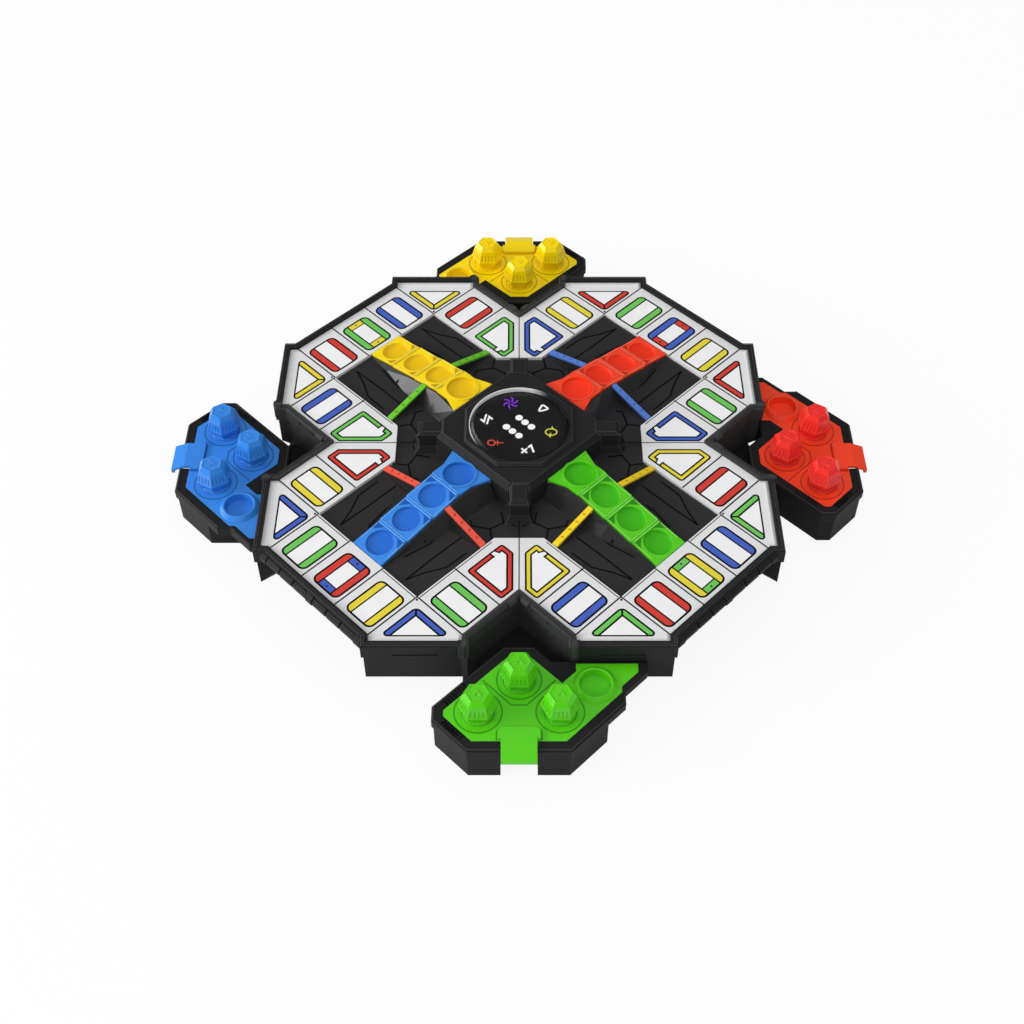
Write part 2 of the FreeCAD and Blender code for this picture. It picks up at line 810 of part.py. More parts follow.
def trayPlate():
    """Coloured plate with three pawn sockets and the start socket with its collar on the wing."""
    plate = prism(plateOutline, trayHeight - plateThick, trayHeight)
    foot = polygonRing(lightSides, traySocketRadius + startCollarFoot)
    lip = polygonRing(lightSides, traySocketRadius + startCollarWide)
    collar = tapered([(foot, trayHeight), (lip, trayHeight + startCollarHigh)])
    low, high = trayHeight - traySocketDepth, trayHeight + startCollarHigh + past
    holes = [lightDisc(traySocketRadius, low, high, x, y) for x, y in pawnPlaces + [startPlace]]
    return cut(fuse([plate, moved(collar, *startPlace)]), holes)


def trayTab():
    """Tongue that lies on the plate, crosses the front wall above its slot and slopes down outside."""
    low, high = trayHeight, trayHeight + tabThick
    fall = tabSlope / (tabReach - tabCrease)
    lipInside = tabReach - tabThick
    profile = [
        (-tabHeadBack, low), (-tabHeadBack, high), (-tabCrease, high), (-tabReach, high - tabSlope),
        (-tabReach, tabEnd), (-lipInside, tabEnd), (-lipInside, low - fall * (lipInside - tabCrease)),
        (-tabCrease, low),
    ]
    side = Part.Face(loop([Vector(-tabHalf, y, z) for y, z in profile]))
    tongue = side.extrude(Vector(2 * tabHalf, 0, 0))
    inner = tabHeadHalf - tabHeadCorner
    head = [(-tabHeadHalf, -tabHeadFront), (tabHeadHalf, -tabHeadFront),
            (tabHeadHalf, -tabHeadBack - tabHeadCorner), (inner, -tabHeadBack),
            (-inner, -tabHeadBack), (-tabHeadHalf, -tabHeadBack - tabHeadCorner)]
    return fuse([tongue, prism(head, low, high)])


def pawn():
    """Six-sided playing piece: foot for the socket, flared cheeks, sloping sides and a flat crown."""
    foot = polygonRing(pawnSides, pawnRadius)
    body = [(foot, pawnFlare)]
    for height, radius in (pawnCheek, pawnCrown):
        body.append((polygonRing(pawnSides, radius), height))
    return fuse([prism(foot, slideGap - traySocketDepth, pawnFlare), tapered(body)])


armParts = {
    "arm_body": armBody(),
    "rim_frame": rimFrame(),
    "track_panel": trackPanel(),
    "valley_floor": valleyFloor(),
    "runway": runway(),
    "cross_bar": crossBar(),
}
for colour, angle in armTurns.items():
    for name, shape in armParts.items():
        save(name + "_" + colour, turned(shape, angle))

save("dice_housing", diceHousing())
save("display_collar", displayCollar())
save("press_dome", pressDome())
save("display_disc", displayDisc())
save("circuit_board", circuitBoard())
save("press_switch", pressSwitch())
save("speaker", speaker())
save("pod_base", podBase())
save("battery_door", batteryDoor())
save("battery_cells", batteryCells())

trayParts = {"tray_shell": trayShell(), "tray_plate": trayPlate(), "tray_tab": trayTab()}
piece = pawn()
for colour, angle in trayTurns.items():
    for name, shape in trayParts.items():
        save(name + "_" + colour, turned(shape, angle))
    for n, (x, y) in enumerate(pawnPlaces):
        save("pawn_%s_%d" % (colour, n + 1), turned(moved(piece, x, y, trayHeight), angle))
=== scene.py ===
import math
import bmesh
import bpy
from mathutils import Matrix, Vector


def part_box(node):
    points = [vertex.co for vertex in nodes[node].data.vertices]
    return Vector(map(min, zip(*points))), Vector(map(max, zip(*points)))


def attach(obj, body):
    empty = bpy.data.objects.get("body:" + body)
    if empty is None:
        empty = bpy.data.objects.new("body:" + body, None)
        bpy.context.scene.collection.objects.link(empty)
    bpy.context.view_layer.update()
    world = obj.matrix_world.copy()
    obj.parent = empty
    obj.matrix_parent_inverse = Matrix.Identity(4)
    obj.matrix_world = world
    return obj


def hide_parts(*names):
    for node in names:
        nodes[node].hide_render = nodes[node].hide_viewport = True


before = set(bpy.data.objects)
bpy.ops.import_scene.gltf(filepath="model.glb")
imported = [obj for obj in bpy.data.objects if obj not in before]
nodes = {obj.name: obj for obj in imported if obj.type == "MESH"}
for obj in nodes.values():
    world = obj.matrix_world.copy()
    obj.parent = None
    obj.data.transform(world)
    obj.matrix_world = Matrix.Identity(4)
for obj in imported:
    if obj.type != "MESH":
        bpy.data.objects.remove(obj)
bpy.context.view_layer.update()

mm = 0.001
armTurn = {"red": 45, "yellow": 135, "blue": 225, "green": 315}
trayTurn = {"green": 0, "red": 90, "yellow": 180, "blue": 270}
colours = ["red", "yellow", "blue", "green"]


def tint(red, green, blue):  # a colour as a paint program shows it, in the renderer's linear values
    parts = [c / 255 for c in (red, green, blue)]
    return tuple(c / 12.92 if c < 0.04045 else ((c + 0.055) / 1.055) ** 2.4 for c in parts) + (1.0,)


class Signal:  # one output socket; arithmetic on it adds Math nodes
    def __init__(self, finish, socket):
        self.finish = finish
        self.socket = socket

    def maths(self, operation, *terms):
        return self.finish.add("ShaderNodeMath", {"operation": operation}, dict(enumerate(terms)))

    def __add__(self, other):
        return self.maths("ADD", self, other)

    __radd__ = __add__

    def __mul__(self, other):
        return self.maths("MULTIPLY", self, other)

    __rmul__ = __mul__

    def __sub__(self, other):
        return self.maths("SUBTRACT", self, other)

    def __rsub__(self, other):
        return self.maths("SUBTRACT", other, self)

    def __abs__(self):
        return self.maths("ABSOLUTE", self)

    def ramp(self, low, high, start=0.0, end=1.0):  # smooth step from low to high
        settings = {"interpolation_type": "SMOOTHSTEP"}
        return self.finish.add("ShaderNodeMapRange", settings, {0: self, 1: low, 2: high, 3: start, 4: end})


class Finish:  # a material and its nodes
    def __init__(self, name):
        self.material = bpy.data.materials.new(name)
        self.material.use_nodes = True
        self.tree = self.material.node_tree
        self.tree.nodes.clear()

    def add(self, kind, settings=None, sockets=None, output=0):
        node = self.tree.nodes.new(kind)
        for key, value in (settings or {}).items():
            if key == "stops":
                self.setStops(node.color_ramp, value)
            else:
                setattr(node, key, value)
        for key, value in (sockets or {}).items():
            if isinstance(value, Signal):
                self.tree.links.new(value.socket, node.inputs[key])
            else:
                node.inputs[key].default_value = value
        return Signal(self, node.outputs[output])

    def setStops(self, ramp, stops):
        while len(ramp.elements) < len(stops):
            ramp.elements.new(1.0)
        for element, (position, colour) in zip(ramp.elements, stops):
            element.position = position
            element.color = colour

    def place(self):  # position on the object, in metres
        return self.add("ShaderNodeTexCoord", None, None, "Object")

    def axis(self, name):
        return self.add("ShaderNodeSeparateXYZ", None, {0: self.place()}, name)

    def noise(self, scale, detail):
        sockets = {"Vector": self.place(), "Scale": scale, "Detail": detail}
        return self.add("ShaderNodeTexNoise", None, sockets, "Fac")

    def mix(self, factor, first, second):
        return self.add("ShaderNodeMix", {"data_type": "RGBA"}, {0: factor, 6: first, 7: second}, 2)

    def bump(self, height, strength, depth, normal=None):
        sockets = {"Height": height, "Strength": strength, "Distance": depth}
        if normal is not None:
            sockets["Normal"] = normal
        return self.add("ShaderNodeBump", None, sockets)

    def softEdge(self, radius):  # normal of an edge rounded to that radius
        return self.add("ShaderNodeBevel", {"samples": 4}, {"Radius": radius})

    def edgeMask(self, rounded):  # 1 where the rounded edge leaves the true surface
        flat = self.add("ShaderNodeNewGeometry", None, None, "Normal")
        settings = {"operation": "DOT_PRODUCT"}
        near = self.add("ShaderNodeVectorMath", settings, {0: rounded, 1: flat}, "Value")
        return (1.0 - near).ramp(0.004, 0.12)

    def output(self, kind, shader):
        node = self.tree.nodes.new(kind)
        self.tree.links.new(shader.socket, node.inputs["Surface"])

    def surface(self, sockets):
        self.output("ShaderNodeOutputMaterial", self.add("ShaderNodeBsdfPrincipled", None, sockets))
        return self.material


def lighter(colour, share):
    return tuple(min(1.0, c * share) for c in colour[:3]) + (1.0,)


moulded = {  # what a moulded plastic has where its own look doesn't say otherwise
    "drift": (38.0, 3.0),      # scale and detail of the slow changes
    "speckle": (2400.0, 2.0),  # and of the fine grain
    "tone": (0.94, 1.06),
    "roughness": 0.34,
    "wander": (0.08, 0.06),    # how far the two change the roughness
    "grain": 0.12,
    "grainDepth": 0.05 * mm,
    "edgeRadius": 0.35 * mm,
    # the edge settings paint a highlight along the edges: a lighter colour mixed in there
    "edgeGain": 1.6,
    "edgeLight": 0.35,
    "edgeSheen": 0.05,
    "specular": 0.3,
    "coat": 0.0,
}


def mouldedPlastic(name, ownLook):
    look = {**moulded, **ownLook}
    finish = Finish(name)
    colour = look["colour"]
    drift, speckle = finish.noise(*look["drift"]), finish.noise(*look["speckle"])
    rounded = finish.softEdge(look["edgeRadius"])
    edge = finish.edgeMask(rounded)
    body = finish.mix(drift, *[lighter(colour, share) for share in look["tone"]])
    if "notch" in look:  # painted light: the walls of the notches between two arms are painted paler
        x, y = abs(finish.axis("X")), abs(finish.axis("Y"))
        inNotch = x.maths("MINIMUM", x, y).ramp(*look["notchHalf"], 1.0, 0.0)
        body = finish.mix(inNotch, body, look["notch"])
    # painted highlight along the edges, a lighter colour by default; a darker edge colour paints shade
    # there instead
    bright = look.get("edgeColour", lighter(colour, look["edgeGain"]))
    slow, fine = look["wander"]
    roughness = look["roughness"] + (drift - 0.5) * slow + (speckle - 0.5) * fine
    return finish.surface({
        "Base Color": finish.mix(edge * look["edgeLight"], body, bright),
        "Roughness": roughness - edge * look["edgeSheen"],
        "Normal": finish.bump(speckle, look["grain"], look["grainDepth"], rounded),
        "Specular IOR Level": look["specular"],
        "Coat Weight": look["coat"],
    })


# the edge settings below set the painted highlight along each plastic's edges
darkPlastic = {"roughness": 0.45, "edgeGain": 2.4, "edgeLight": 0.5, "grain": 0.2, "specular": 0.1}
plastics = {
    "black": {**darkPlastic, "colour": tint(40, 40, 41)},
    # the notch colour paints light onto the walls of the notches
    "arm": {**darkPlastic, "colour": tint(39, 39, 40), "notch": tint(62, 63, 62),
            "notchHalf": (26.5 * mm, 29.0 * mm)},
    "shell": {**darkPlastic, "colour": tint(35, 35, 36), "edgeGain": 3.4, "edgeLight": 0.6},
    "housing": {**darkPlastic, "colour": tint(38, 38, 39), "roughness": 0.42, "edgeGain": 9.0,
                "edgeLight": 0.7, "grain": 0.12, "edgeRadius": 0.45 * mm},
    "lip": {"colour": tint(46, 46, 47), "roughness": 0.3, "edgeGain": 4.0, "edgeLight": 0.7},
    # edge colours here are the colours of the painted highlight along the edges
    "red": {"colour": tint(252, 68, 34), "edgeColour": tint(255, 150, 120)},
    "yellow": {"colour": tint(252, 218, 0), "edgeColour": tint(255, 240, 120)},
    "blue": {"colour": tint(54, 134, 224), "edgeColour": tint(140, 196, 250)},
    "green": {"colour": tint(86, 206, 20), "edgeColour": tint(170, 236, 130)},
    "switch": {"colour": tint(30, 30, 32), "roughness": 0.5, "edgeGain": 2.0},
}
shades = {  # deeper and paler neighbours of each bright colour: dark paints shade in the socket cups and ledge lines, shade paints shade on the ledge facets, glint is a painted highlight, strap is the straps' own colour
    "red": {"dark": tint(247, 52, 18), "shade": tint(206, 38, 14), "glint": tint(255, 132, 100),
            "strap": tint(240, 90, 70)},
    "yellow": {"dark": tint(232, 190, 0), "shade": tint(196, 156, 0), "glint": tint(255, 238, 96),
               "strap": tint(242, 206, 30)},
    "blue": {"dark": tint(32, 106, 202), "shade": tint(18, 82, 172), "glint": tint(112, 178, 246),
             "strap": tint(84, 124, 208)},
    "green": {"dark": tint(60, 184, 0), "shade": tint(40, 146, 4), "glint": tint(150, 232, 104),
              "strap": tint(108, 196, 46)},
}
for name in colours:
    for kind, shade in shades[name].items():
        plastics[kind + name.capitalize()] = {"colour": shade, "roughness": 0.36, "edgeGain": 1.2}
    plain = plastics[name]
    # a darker colour that draws the tray plates' grooves as painted shade; the strap ticks use it too
    plastics[name + "Groove"] = {"colour": lighter(plain["colour"], 0.5), "roughness": 0.5, "edgeGain": 1.0}
    plastics[name + "Gloss"] = {**plain, "roughness": 0.2, "coat": 0.2}
# pinker red for the pawns, with a pinker painted edge highlight
plastics["redGloss"].update({"colour": tint(240, 50, 44), "edgeColour": tint(250, 140, 134)})
plastic = {name: mouldedPlastic(name + "Plastic", look) for name, look in plastics.items()}


def toned(kind, colour):
    return plastic[kind + colour.capitalize()]


def lensFinish():  # the disc shows straight through; the coat alone mirrors the room
    finish = Finish("clearLens")
    scuff = finish.noise(260.0, 5.0)
    return finish.surface({
        "Base Color": (1.0, 1.0, 1.0, 1.0),
        "Roughness": scuff.ramp(0.6, 0.8, 0.0, 0.01),
        "Transmission Weight": 1.0,
        "IOR": 1.02,
        "Coat Weight": 1.0 - scuff * 0.1,
        "Coat IOR": 1.45,
        "Coat Roughness": 0.2,
    })


def displayFinish():
    finish = Finish("displayBlack")
    cloud = finish.noise(60.0, 3.0)
    return finish.surface({
        "Base Color": finish.mix(cloud, tint(14, 14, 15), tint(18, 18, 19)),
        "Roughness": 0.3 + cloud * 0.08,
        "Coat Weight": 0.05 + cloud * 0.05,
        "Specular IOR Level": 0.15,
    })


def boardFinish():
    finish = Finish("circuitBoard")
    weave = finish.noise(900.0, 3.0)
    patch = finish.noise(160.0, 1.0)
    return finish.surface({
        "Base Color": finish.mix(patch.ramp(0.5, 0.56), tint(18, 86, 48), tint(30, 116, 64)),
        "Roughness": 0.35 + weave * 0.12,
        "Normal": finish.bump(weave, 0.2, 0.05 * mm),
    })


def metalFinish(name, colour, roughness):
    finish = Finish(name)
    brushed = finish.noise(700.0, 6.0)
    rounded = finish.softEdge(0.2 * mm)
    return finish.surface({
        "Base Color": finish.mix(brushed, lighter(colour, 0.85), lighter(colour, 1.1)),
        "Metallic": 0.95 + brushed * 0.05,
        "Roughness": roughness + brushed * 0.12,
        "Normal": finish.bump(brushed, 0.1, 0.03 * mm, rounded),
    })


def cellWrapFinish():  # batteries: plain sleeve with a lighter band at the positive end
    finish = Finish("cellWrap")
    along = finish.axis("X")
    grime = finish.noise(300.0, 3.0)
    band = along.ramp(15.0 * mm, 15.4 * mm)
    return finish.surface({
        "Base Color": finish.mix(band, tint(52, 56, 62), tint(176, 150, 88)),
        "Metallic": band * 0.6,
        "Roughness": 0.3 + grime * 0.12,
        "Normal": finish.bump(grime, 0.08, 0.05 * mm),
    })


def inkFinish(name, colour):
    finish = Finish(name)
    grain = finish.noise(1500.0, 2.0)
    wash = finish.noise(90.0, 3.0)
    shown = finish.mix(wash, lighter(colour, 0.95), lighter(colour, 1.05))
    return finish.surface({
        "Base Color": shown,
        "Roughness": 0.4 + (grain - 0.5) * 0.1,
        "Normal": finish.bump(grain, 0.1, 0.02 * mm),
        "Specular IOR Level": 0.12,
    })


def lightFinish(name, colour, strength):
    finish = Finish(name)
    shimmer = finish.noise(900.0, 2.0)
    shown = finish.mix(shimmer, lighter(colour, 0.93), lighter(colour, 1.0))
    return finish.surface({
        "Base Color": (0.02, 0.02, 0.02, 1.0),
        "Roughness": 0.3 + shimmer * 0.05,
        "Emission Color": shown,
        "Emission Strength": strength,
    })


inks = {
    "black": inkFinish("inkBlack", tint(12, 12, 13)),
    "white": inkFinish("inkWhite", tint(239, 239, 240)),
    "crease": inkFinish("inkCrease", tint(4, 4, 4)),
    "red": inkFinish("inkRed", tint(208, 64, 54)),
    "yellow": inkFinish("inkYellow", tint(226, 210, 64)),
    "blue": inkFinish("inkBlue", tint(70, 97, 190)),
    "green": inkFinish("inkGreen", tint(110, 196, 90)),
}
lights = {
    "white": lightFinish("litWhite", (1.0, 1.0, 1.0, 1.0), 1.0),
    "purple": lightFinish("litPurple", tint(128, 40, 214), 1.4),
    "red": lightFinish("litRed", tint(212, 70, 40), 1.0),
    "yellow": lightFinish("litYellow", tint(218, 216, 62), 1.0),
}
whitePanel = mouldedPlastic("whitePanel", {
    "colour": tint(226, 226, 227),
    # the panel's edges are painted this darker grey as shade
    "edgeColour": tint(176, 177, 180),
    "drift": (24.0, 3.0),
    "speckle": (3000.0, 2.0),
    "tone": (0.975, 1.015),
    "roughness": 0.3,
    "wander": (0.08, 0.05),
    "grain": 0.08,
    "grainDepth": 0.04 * mm,
    "edgeRadius": 0.3 * mm,
    "edgeSheen": 0.0,
    "specular": 0.5,
})
greyFloor = mouldedPlastic("greyFloor", {
    "colour": tint(45, 45, 46),
    "drift": (30.0, 4.0),
    "speckle": (1800.0, 3.0),
    "tone": (0.85, 1.15),
    "roughness": 0.22,
    "wander": (0.1, 0.05),
    "grain": 0.1,
    "edgeRadius": 0.3 * mm,
    # a painted highlight along the floor's edges
    "edgeGain": 2.2,
    "edgeLight": 0.4,
    "edgeSheen": 0.0,
    "specular": 0.5,
})
magnetMetal = metalFinish("speakerMetal", tint(96, 98, 102), 0.4)
print("finishes:", len(bpy.data.materials))

# finishes on the frame's nodes
barColour = {"red": "blue", "blue": "red", "yellow": "green", "green": "yellow"}
nodeFinish = {
    "dice_housing": plastic["housing"],
    "display_collar": plastic["housing"],
    "press_dome": lensFinish(),
    "display_disc": displayFinish(),
    "circuit_board": boardFinish(),
    "press_switch": plastic["switch"],
    "speaker": magnetMetal,
    "pod_base": plastic["black"],
    "battery_door": plastic["black"],
    "battery_cells": cellWrapFinish(),
}
for colour in colours:
    nodeFinish["arm_body_" + colour] = plastic["arm"]
    nodeFinish["rim_frame_" + colour] = plastic["arm"]
    nodeFinish["track_panel_" + colour] = whitePanel
    nodeFinish["valley_floor_" + colour] = greyFloor
    nodeFinish["runway_" + colour] = plastic[colour]
    nodeFinish["cross_bar_" + colour] = toned("strap", barColour[colour])
    nodeFinish["tray_shell_" + colour] = plastic["shell"]
    nodeFinish["tray_plate_" + colour] = plastic[colour]
    nodeFinish["tray_tab_" + colour] = plastic[colour]
    for n in (1, 2, 3):
        nodeFinish["pawn_%s_%d" % (colour, n)] = plastic[colour]
for name, node in nodes.items():
    node.data.materials.clear()
    node.data.materials.append(nodeFinish[name])
print("nodes dressed")

roundSides = 48  # of sockets, collars and rings


# mesh tools work in millimetres until a piece is made
def circle(x, y, radius, count=24, flatten=1.0):
    angles = [2 * math.pi * n / count for n in range(count)]
    return [(x + radius * math.cos(a), y + flatten * radius * math.sin(a)) for a in angles]


def rectangle(left, front, right, back):
    return [(left, front), (right, front), (right, back), (left, back)]


def loopFaces(mesh, lower, upper):  # walls between two rings with as many points each
    count = len(lower)
    for n in range(count):
        after = (n + 1) % count
        mesh.faces.new((lower[n], lower[after], upper[after], upper[n]))


def addPrism(mesh, points, low, high):
    lower = [mesh.verts.new((x, y, low)) for x, y in points]
    upper = [mesh.verts.new((x, y, high)) for x, y in points]
    mesh.faces.new(lower[::-1])
    mesh.faces.new(upper)
    loopFaces(mesh, lower, upper)
    return lower + upper


def addTurned(mesh, profile, sides):  # closed outline of (radius, height) turned about the upright axis
    rings = []
    for radius, height in profile:
        if radius < 1e-6:
            rings.append([mesh.verts.new((0, 0, height))])
            continue
        rings.append([mesh.verts.new((x, y, height)) for x, y in circle(0, 0, radius, sides)])
    for first, second in zip(rings, rings[1:] + rings[:1]):
        for n in range(sides):
            after = (n + 1) % sides
            corners = [first[n % len(first)], first[after % len(first)],
                       second[after % len(second)], second[n % len(second)]]
            distinct = list(dict.fromkeys(corners))
            if len(distinct) > 2:
                mesh.faces.new(distinct)
    return [vertex for ring in rings for vertex in ring]


def ribbonEdges(points, width, closed, sharpest=0.3):  # left and right lines of a stroke with mitred bends
    left, right = [], []
    count = len(points)
    for n in range(count):
        here = Vector(points[n])
        before = Vector(points[n - 1]) if closed or n else None
        after = Vector(points[(n + 1) % count]) if closed or n < count - 1 else None
        normals = []
        for start, end in ((before, here), (here, after)):
            if start is not None and end is not None:
                along = (end - start).normalized()
                normals.append(Vector((-along.y, along.x)))
        middle = sum(normals, Vector((0, 0))).normalized()
        reach = width / 2 / max(sharpest, middle.dot(normals[0]))
        left.append(tuple(here + middle * reach))
        right.append(tuple(here - middle * reach))
    return left, right


def addRibbon(mesh, points, width, low, high, closed=False):
    left, right = ribbonEdges(points, width, closed)
    if not closed:
        addPrism(mesh, right + left[::-1], low, high)
        return
    rings = []
    for line, height in ((left, low), (right, low), (right, high), (left, high)):
        rings.append([mesh.verts.new((x, y, height)) for x, y in line])
    for first, second in zip(rings, rings[1:] + rings[:1]):
        loopFaces(mesh, first, second)


def turnPoint(x, y, angle):
    c, s = math.cos(math.radians(angle)), math.sin(math.radians(angle))
    return (x * c - y * s, x * s + y * c)


def onArm(points, arm):
    return [turnPoint(u, v, armTurn[arm]) for u, v in points]


def turned(angle):
    return Matrix.Rotation(math.radians(angle), 4, "Z")


def move(vertices, matrix):
    for vertex in vertices:
        vertex.co = matrix @ vertex.co


def makePiece(name, mesh, finish, body, smooth=False):
    bmesh.ops.recalc_face_normals(mesh, faces=mesh.faces)
    bmesh.ops.scale(mesh, vec=(mm, mm, mm), verts=mesh.verts)
    data = bpy.data.meshes.new(name)
    mesh.to_mesh(data)
    mesh.free()
    if smooth:
        data.shade_smooth()
    data.materials.append(finish)
    piece = bpy.data.objects.new(name, data)
    bpy.context.scene.collection.objects.link(piece)
    if smooth:
        split = piece.modifiers.new("edges", "EDGE_SPLIT")
        split.split_angle = math.radians(38)
    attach(piece, body)
    return piece


def keepSide(points, nx, ny, limit):  # the part of a convex outline where nx*x + ny*y is at most the limit
    result = []
    for n, here in enumerate(points):
        before = points[n - 1]
        inHere = nx * here[0] + ny * here[1] - limit
        inBefore = nx * before[0] + ny * before[1] - limit
        if (inHere < 0) != (inBefore < 0):
            share = inBefore / (inBefore - inHere)
            result.append(tuple(b + share * (h - b) for h, b in zip(here, before)))
        if inHere <= 0:
            result.append(here)
    return result


def insetShape(points, distance):  # convex outline drawn in by a distance, anticlockwise
    result = list(points)
    for n, (x, y) in enumerate(points):
        nextX, nextY = points[(n + 1) % len(points)]
        length = math.hypot(nextX - x, nextY - y)
        nx, ny = (nextY - y) / length, (x - nextX) / length
        result = keepSide(result, nx, ny, nx * x + ny * y - distance)
    return result


def roundShape(points, radii, steps=5):  # convex outline with its corners rounded
    result = []
    for n, radius in enumerate(radii):
        here = Vector(points[n])
        toBefore = (Vector(points[n - 1]) - here).normalized()
        toAfter = (Vector(points[(n + 1) % len(points)]) - here).normalized()
        half = toBefore.angle(toAfter) / 2
        middle = here + (toBefore + toAfter).normalized() * (radius / math.sin(half))
        start = here + toBefore * (radius / math.tan(half)) - middle
        sweep = math.pi - 2 * half
        for step in range(steps + 1):
            result.append(tuple(middle + Matrix.Rotation(sweep * step / steps, 2) @ start))
    return result


# printed cells of the track
cellPrint = {
    "pitch": 24.93,          # width of a cell
    "rowMiddle": 123.7,      # outer row: distance of its middle from the board's middle
    "sideMiddle": (95.2, 53.8),
    "long": 24.7,            # outline of an oblong field
    "wide": 18.9,
    "corner": 3.6,
    "line": 1.06,            # black line round a field
    "barInner": 5.15,        # coloured bars of a field, measured from its middle line
    "stripInner": 4.3,
    "endBar": 7.3,           # bars at the ends of the start field
    "endBarLine": 8.0,
    "dotPlace": 9.8,
    "dotRadius": 0.55,
    "slip": -1.9,            # the print lies this much nearer to the player than its cells, as in the photo
    "layer": 0.02,           # thickness of one layer of ink
}
startColours = {"red": "B", "yellow": "G", "blue": "R", "green": "Y"}
cellColours = {
    "blue": "RYBGRYBGR",
    "green": "YBGRYBGRY",
    "red": "BGRYBGRYB",
    "yellow": "GRYBGRYBG",
}
inkOf = {"R": "red", "Y": "yellow", "B": "blue", "G": "green"}
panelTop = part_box("track_panel_red")[1].z / mm
layers = {name: bmesh.new() for name in inks}


def lay(ink, arm, points, level):
    shown = [(x, y + cellPrint["slip"]) for x, y in onArm(points, arm)]
    addPrism(layers[ink], shown, panelTop, panelTop + level * cellPrint["layer"])


def oblongField(arm, ink, middle, alongU, startInk=None):  # a runs across the bars and b along them
    p = cellPrint
    halfA, halfB = p["wide"] / 2, p["long"] / 2
    outline = roundShape(rectangle(-halfA, -halfB, halfA, halfB), [p["corner"]] * 4)
    inside = insetShape(outline, p["line"])

    def put(name, shape, level):
        if alongU:
            shown = [(middle[0] + b, middle[1] - a) for a, b in shape]
        else:
            shown = [(middle[0] + a, middle[1] + b) for a, b in shape]
        lay(name, arm, shown, level)

    put("black", outline, 1)
    for side in (1, -1):
        put(ink, keepSide(inside, -side, 0, -p["barInner"]), 2)
    centre = keepSide(keepSide(inside, 1, 0, p["stripInner"]), -1, 0, p["stripInner"])
    if startInk:
        for side in (1, -1):
            put(startInk, keepSide(centre, 0, -side, -p["endBarLine"]), 2)
            put("black", circle(0, side * p["dotPlace"], p["dotRadius"], 12), 3)
        centre = keepSide(keepSide(centre, 0, 1, p["endBar"]), 0, -1, p["endBar"])
    put("white", centre, 2)


def mirrorShape(points, side):
    return points if side > 0 else [(u, -v) for u, v in reversed(points)]


def cornerField(arm, ink, side):  # triangle in the corner of the track
    corner = {"place": (110.6, 40.1), "leg": 25.2, "radii": (3.2, 1.9, 1.9), "bar": 4.3, "line": 1.0,
              "thin": 0.85}
    u, v = corner["place"]
    outline = roundShape([(u, v), (u + corner["leg"], v), (u, v + corner["leg"])], corner["radii"])
    inside = insetShape(outline, corner["line"])
    bar, line = corner["bar"], corner["line"]
    lay("black", arm, mirrorShape(outline, side), 1)
    split = line / 2 * math.sqrt(2)
    low = keepSide(keepSide(inside, 0, 1, v + bar - line), -1, 1, v - u - split)
    left = keepSide(keepSide(inside, 1, 0, u + bar - line), 1, -1, u - v - split)
    field = keepSide(keepSide(insetShape(outline, corner["thin"]), -1, 0, -u - bar), 0, -1, -v - bar)
    lay(ink, arm, mirrorShape(low, side), 2)
    lay(ink, arm, mirrorShape(left, side), 2)
    lay("white", arm, mirrorShape(field, side), 2)


def seamField(arm, ink, side):  # five-sided field next to the seam between two arms
    look = {"radii": (1.8, 1.8, 1.2, 1.2, 1.8), "band": 3.6, "line": 0.95, "gap": (60.3, 62.2),
            "slant": 1.2}
    corners = [(78.6, 41.6), (78.6, 66.3), (70.3, 66.3), (53.9, 49.9), (53.9, 41.6)]
    outline = roundShape(corners, look["radii"], 3)
    shapes = [("black", outline), (ink, insetShape(outline, look["line"])),
              ("black", insetShape(outline, look["band"] - look["line"])),
              ("white", insetShape(outline, look["band"]))]
    for level, (name, shape) in enumerate(shapes):
        lay(name, arm, mirrorShape(shape, side), level + 1)
    edge = corners[0][1]
    for name, margin, overlap, level in (("black", look["line"], 0.1, 5), ("white", 0.0, 0.3, 6)):
        low, high = look["gap"][0] - margin, look["gap"][1] + margin
        near, far = edge + look["line"], edge + look["band"] + overlap
        shape = [(low, near), (high, near), (high, far), (low - look["slant"], far)]
        lay(name, arm, mirrorShape(shape, side), level)


for arm in colours:
    row = [inkOf[letter] for letter in cellColours[arm]]
    for n in (-1, 0, 1):
        ink, end = row[4 + n], None
        if n == 0:
            ink, end = inkOf[startColours[arm]], arm
        oblongField(arm, ink, (cellPrint["rowMiddle"], n * cellPrint["pitch"]), True, end)
    for side in (1, -1):
        u, v = cellPrint["sideMiddle"]
        oblongField(arm, row[4 + 3 * side], (u, side * v), False)
        cornerField(arm, row[4 + 2 * side], side)
        seamField(arm, row[4 + 4 * side], side)

# dark lines at the bottom of the panels' grooves
groove = {
    "half": 0.39,
    "depth": 0.5,
    "rise": 0.42,
    "innerEnd": 107.7,
    "outer": 139.6,
    "innerSide": 37.4,
    "notchSide": 69.6,
    "inset": (0.3, 0.5),  # the lines start this far inside the panel's inner end and inner side
}
grooveFloor = panelTop - groove["depth"]
half = groove["half"]
uStart, vStart = groove["innerEnd"] + groove["inset"][0], groove["innerSide"] + groove["inset"][1]
channels = [rectangle(u - half, vStart, u + half, groove["notchSide"])
            for u in (groove["innerEnd"], groove["innerEnd"] - cellPrint["pitch"])]
channels += [rectangle(uStart, v - half, groove["outer"], v + half)
             for v in (groove["innerSide"], cellPrint["pitch"] / 2)]
for arm in colours:
    for side in (1, -1):
        for channel in channels:
            shown = onArm(mirrorShape(channel, side), arm)
            addPrism(layers["black"], shown, grooveFloor, grooveFloor + groove["rise"])

# seams between the arms
seam = {"ends": (53.4, 98.6), "width": 0.55}
inkTop = panelTop + cellPrint["layer"]
for arm in colours:
    points = [turnPoint(x, 0, trayTurn[arm]) for x in seam["ends"]]
    addRibbon(layers["black"], points, seam["width"], panelTop, inkTop)

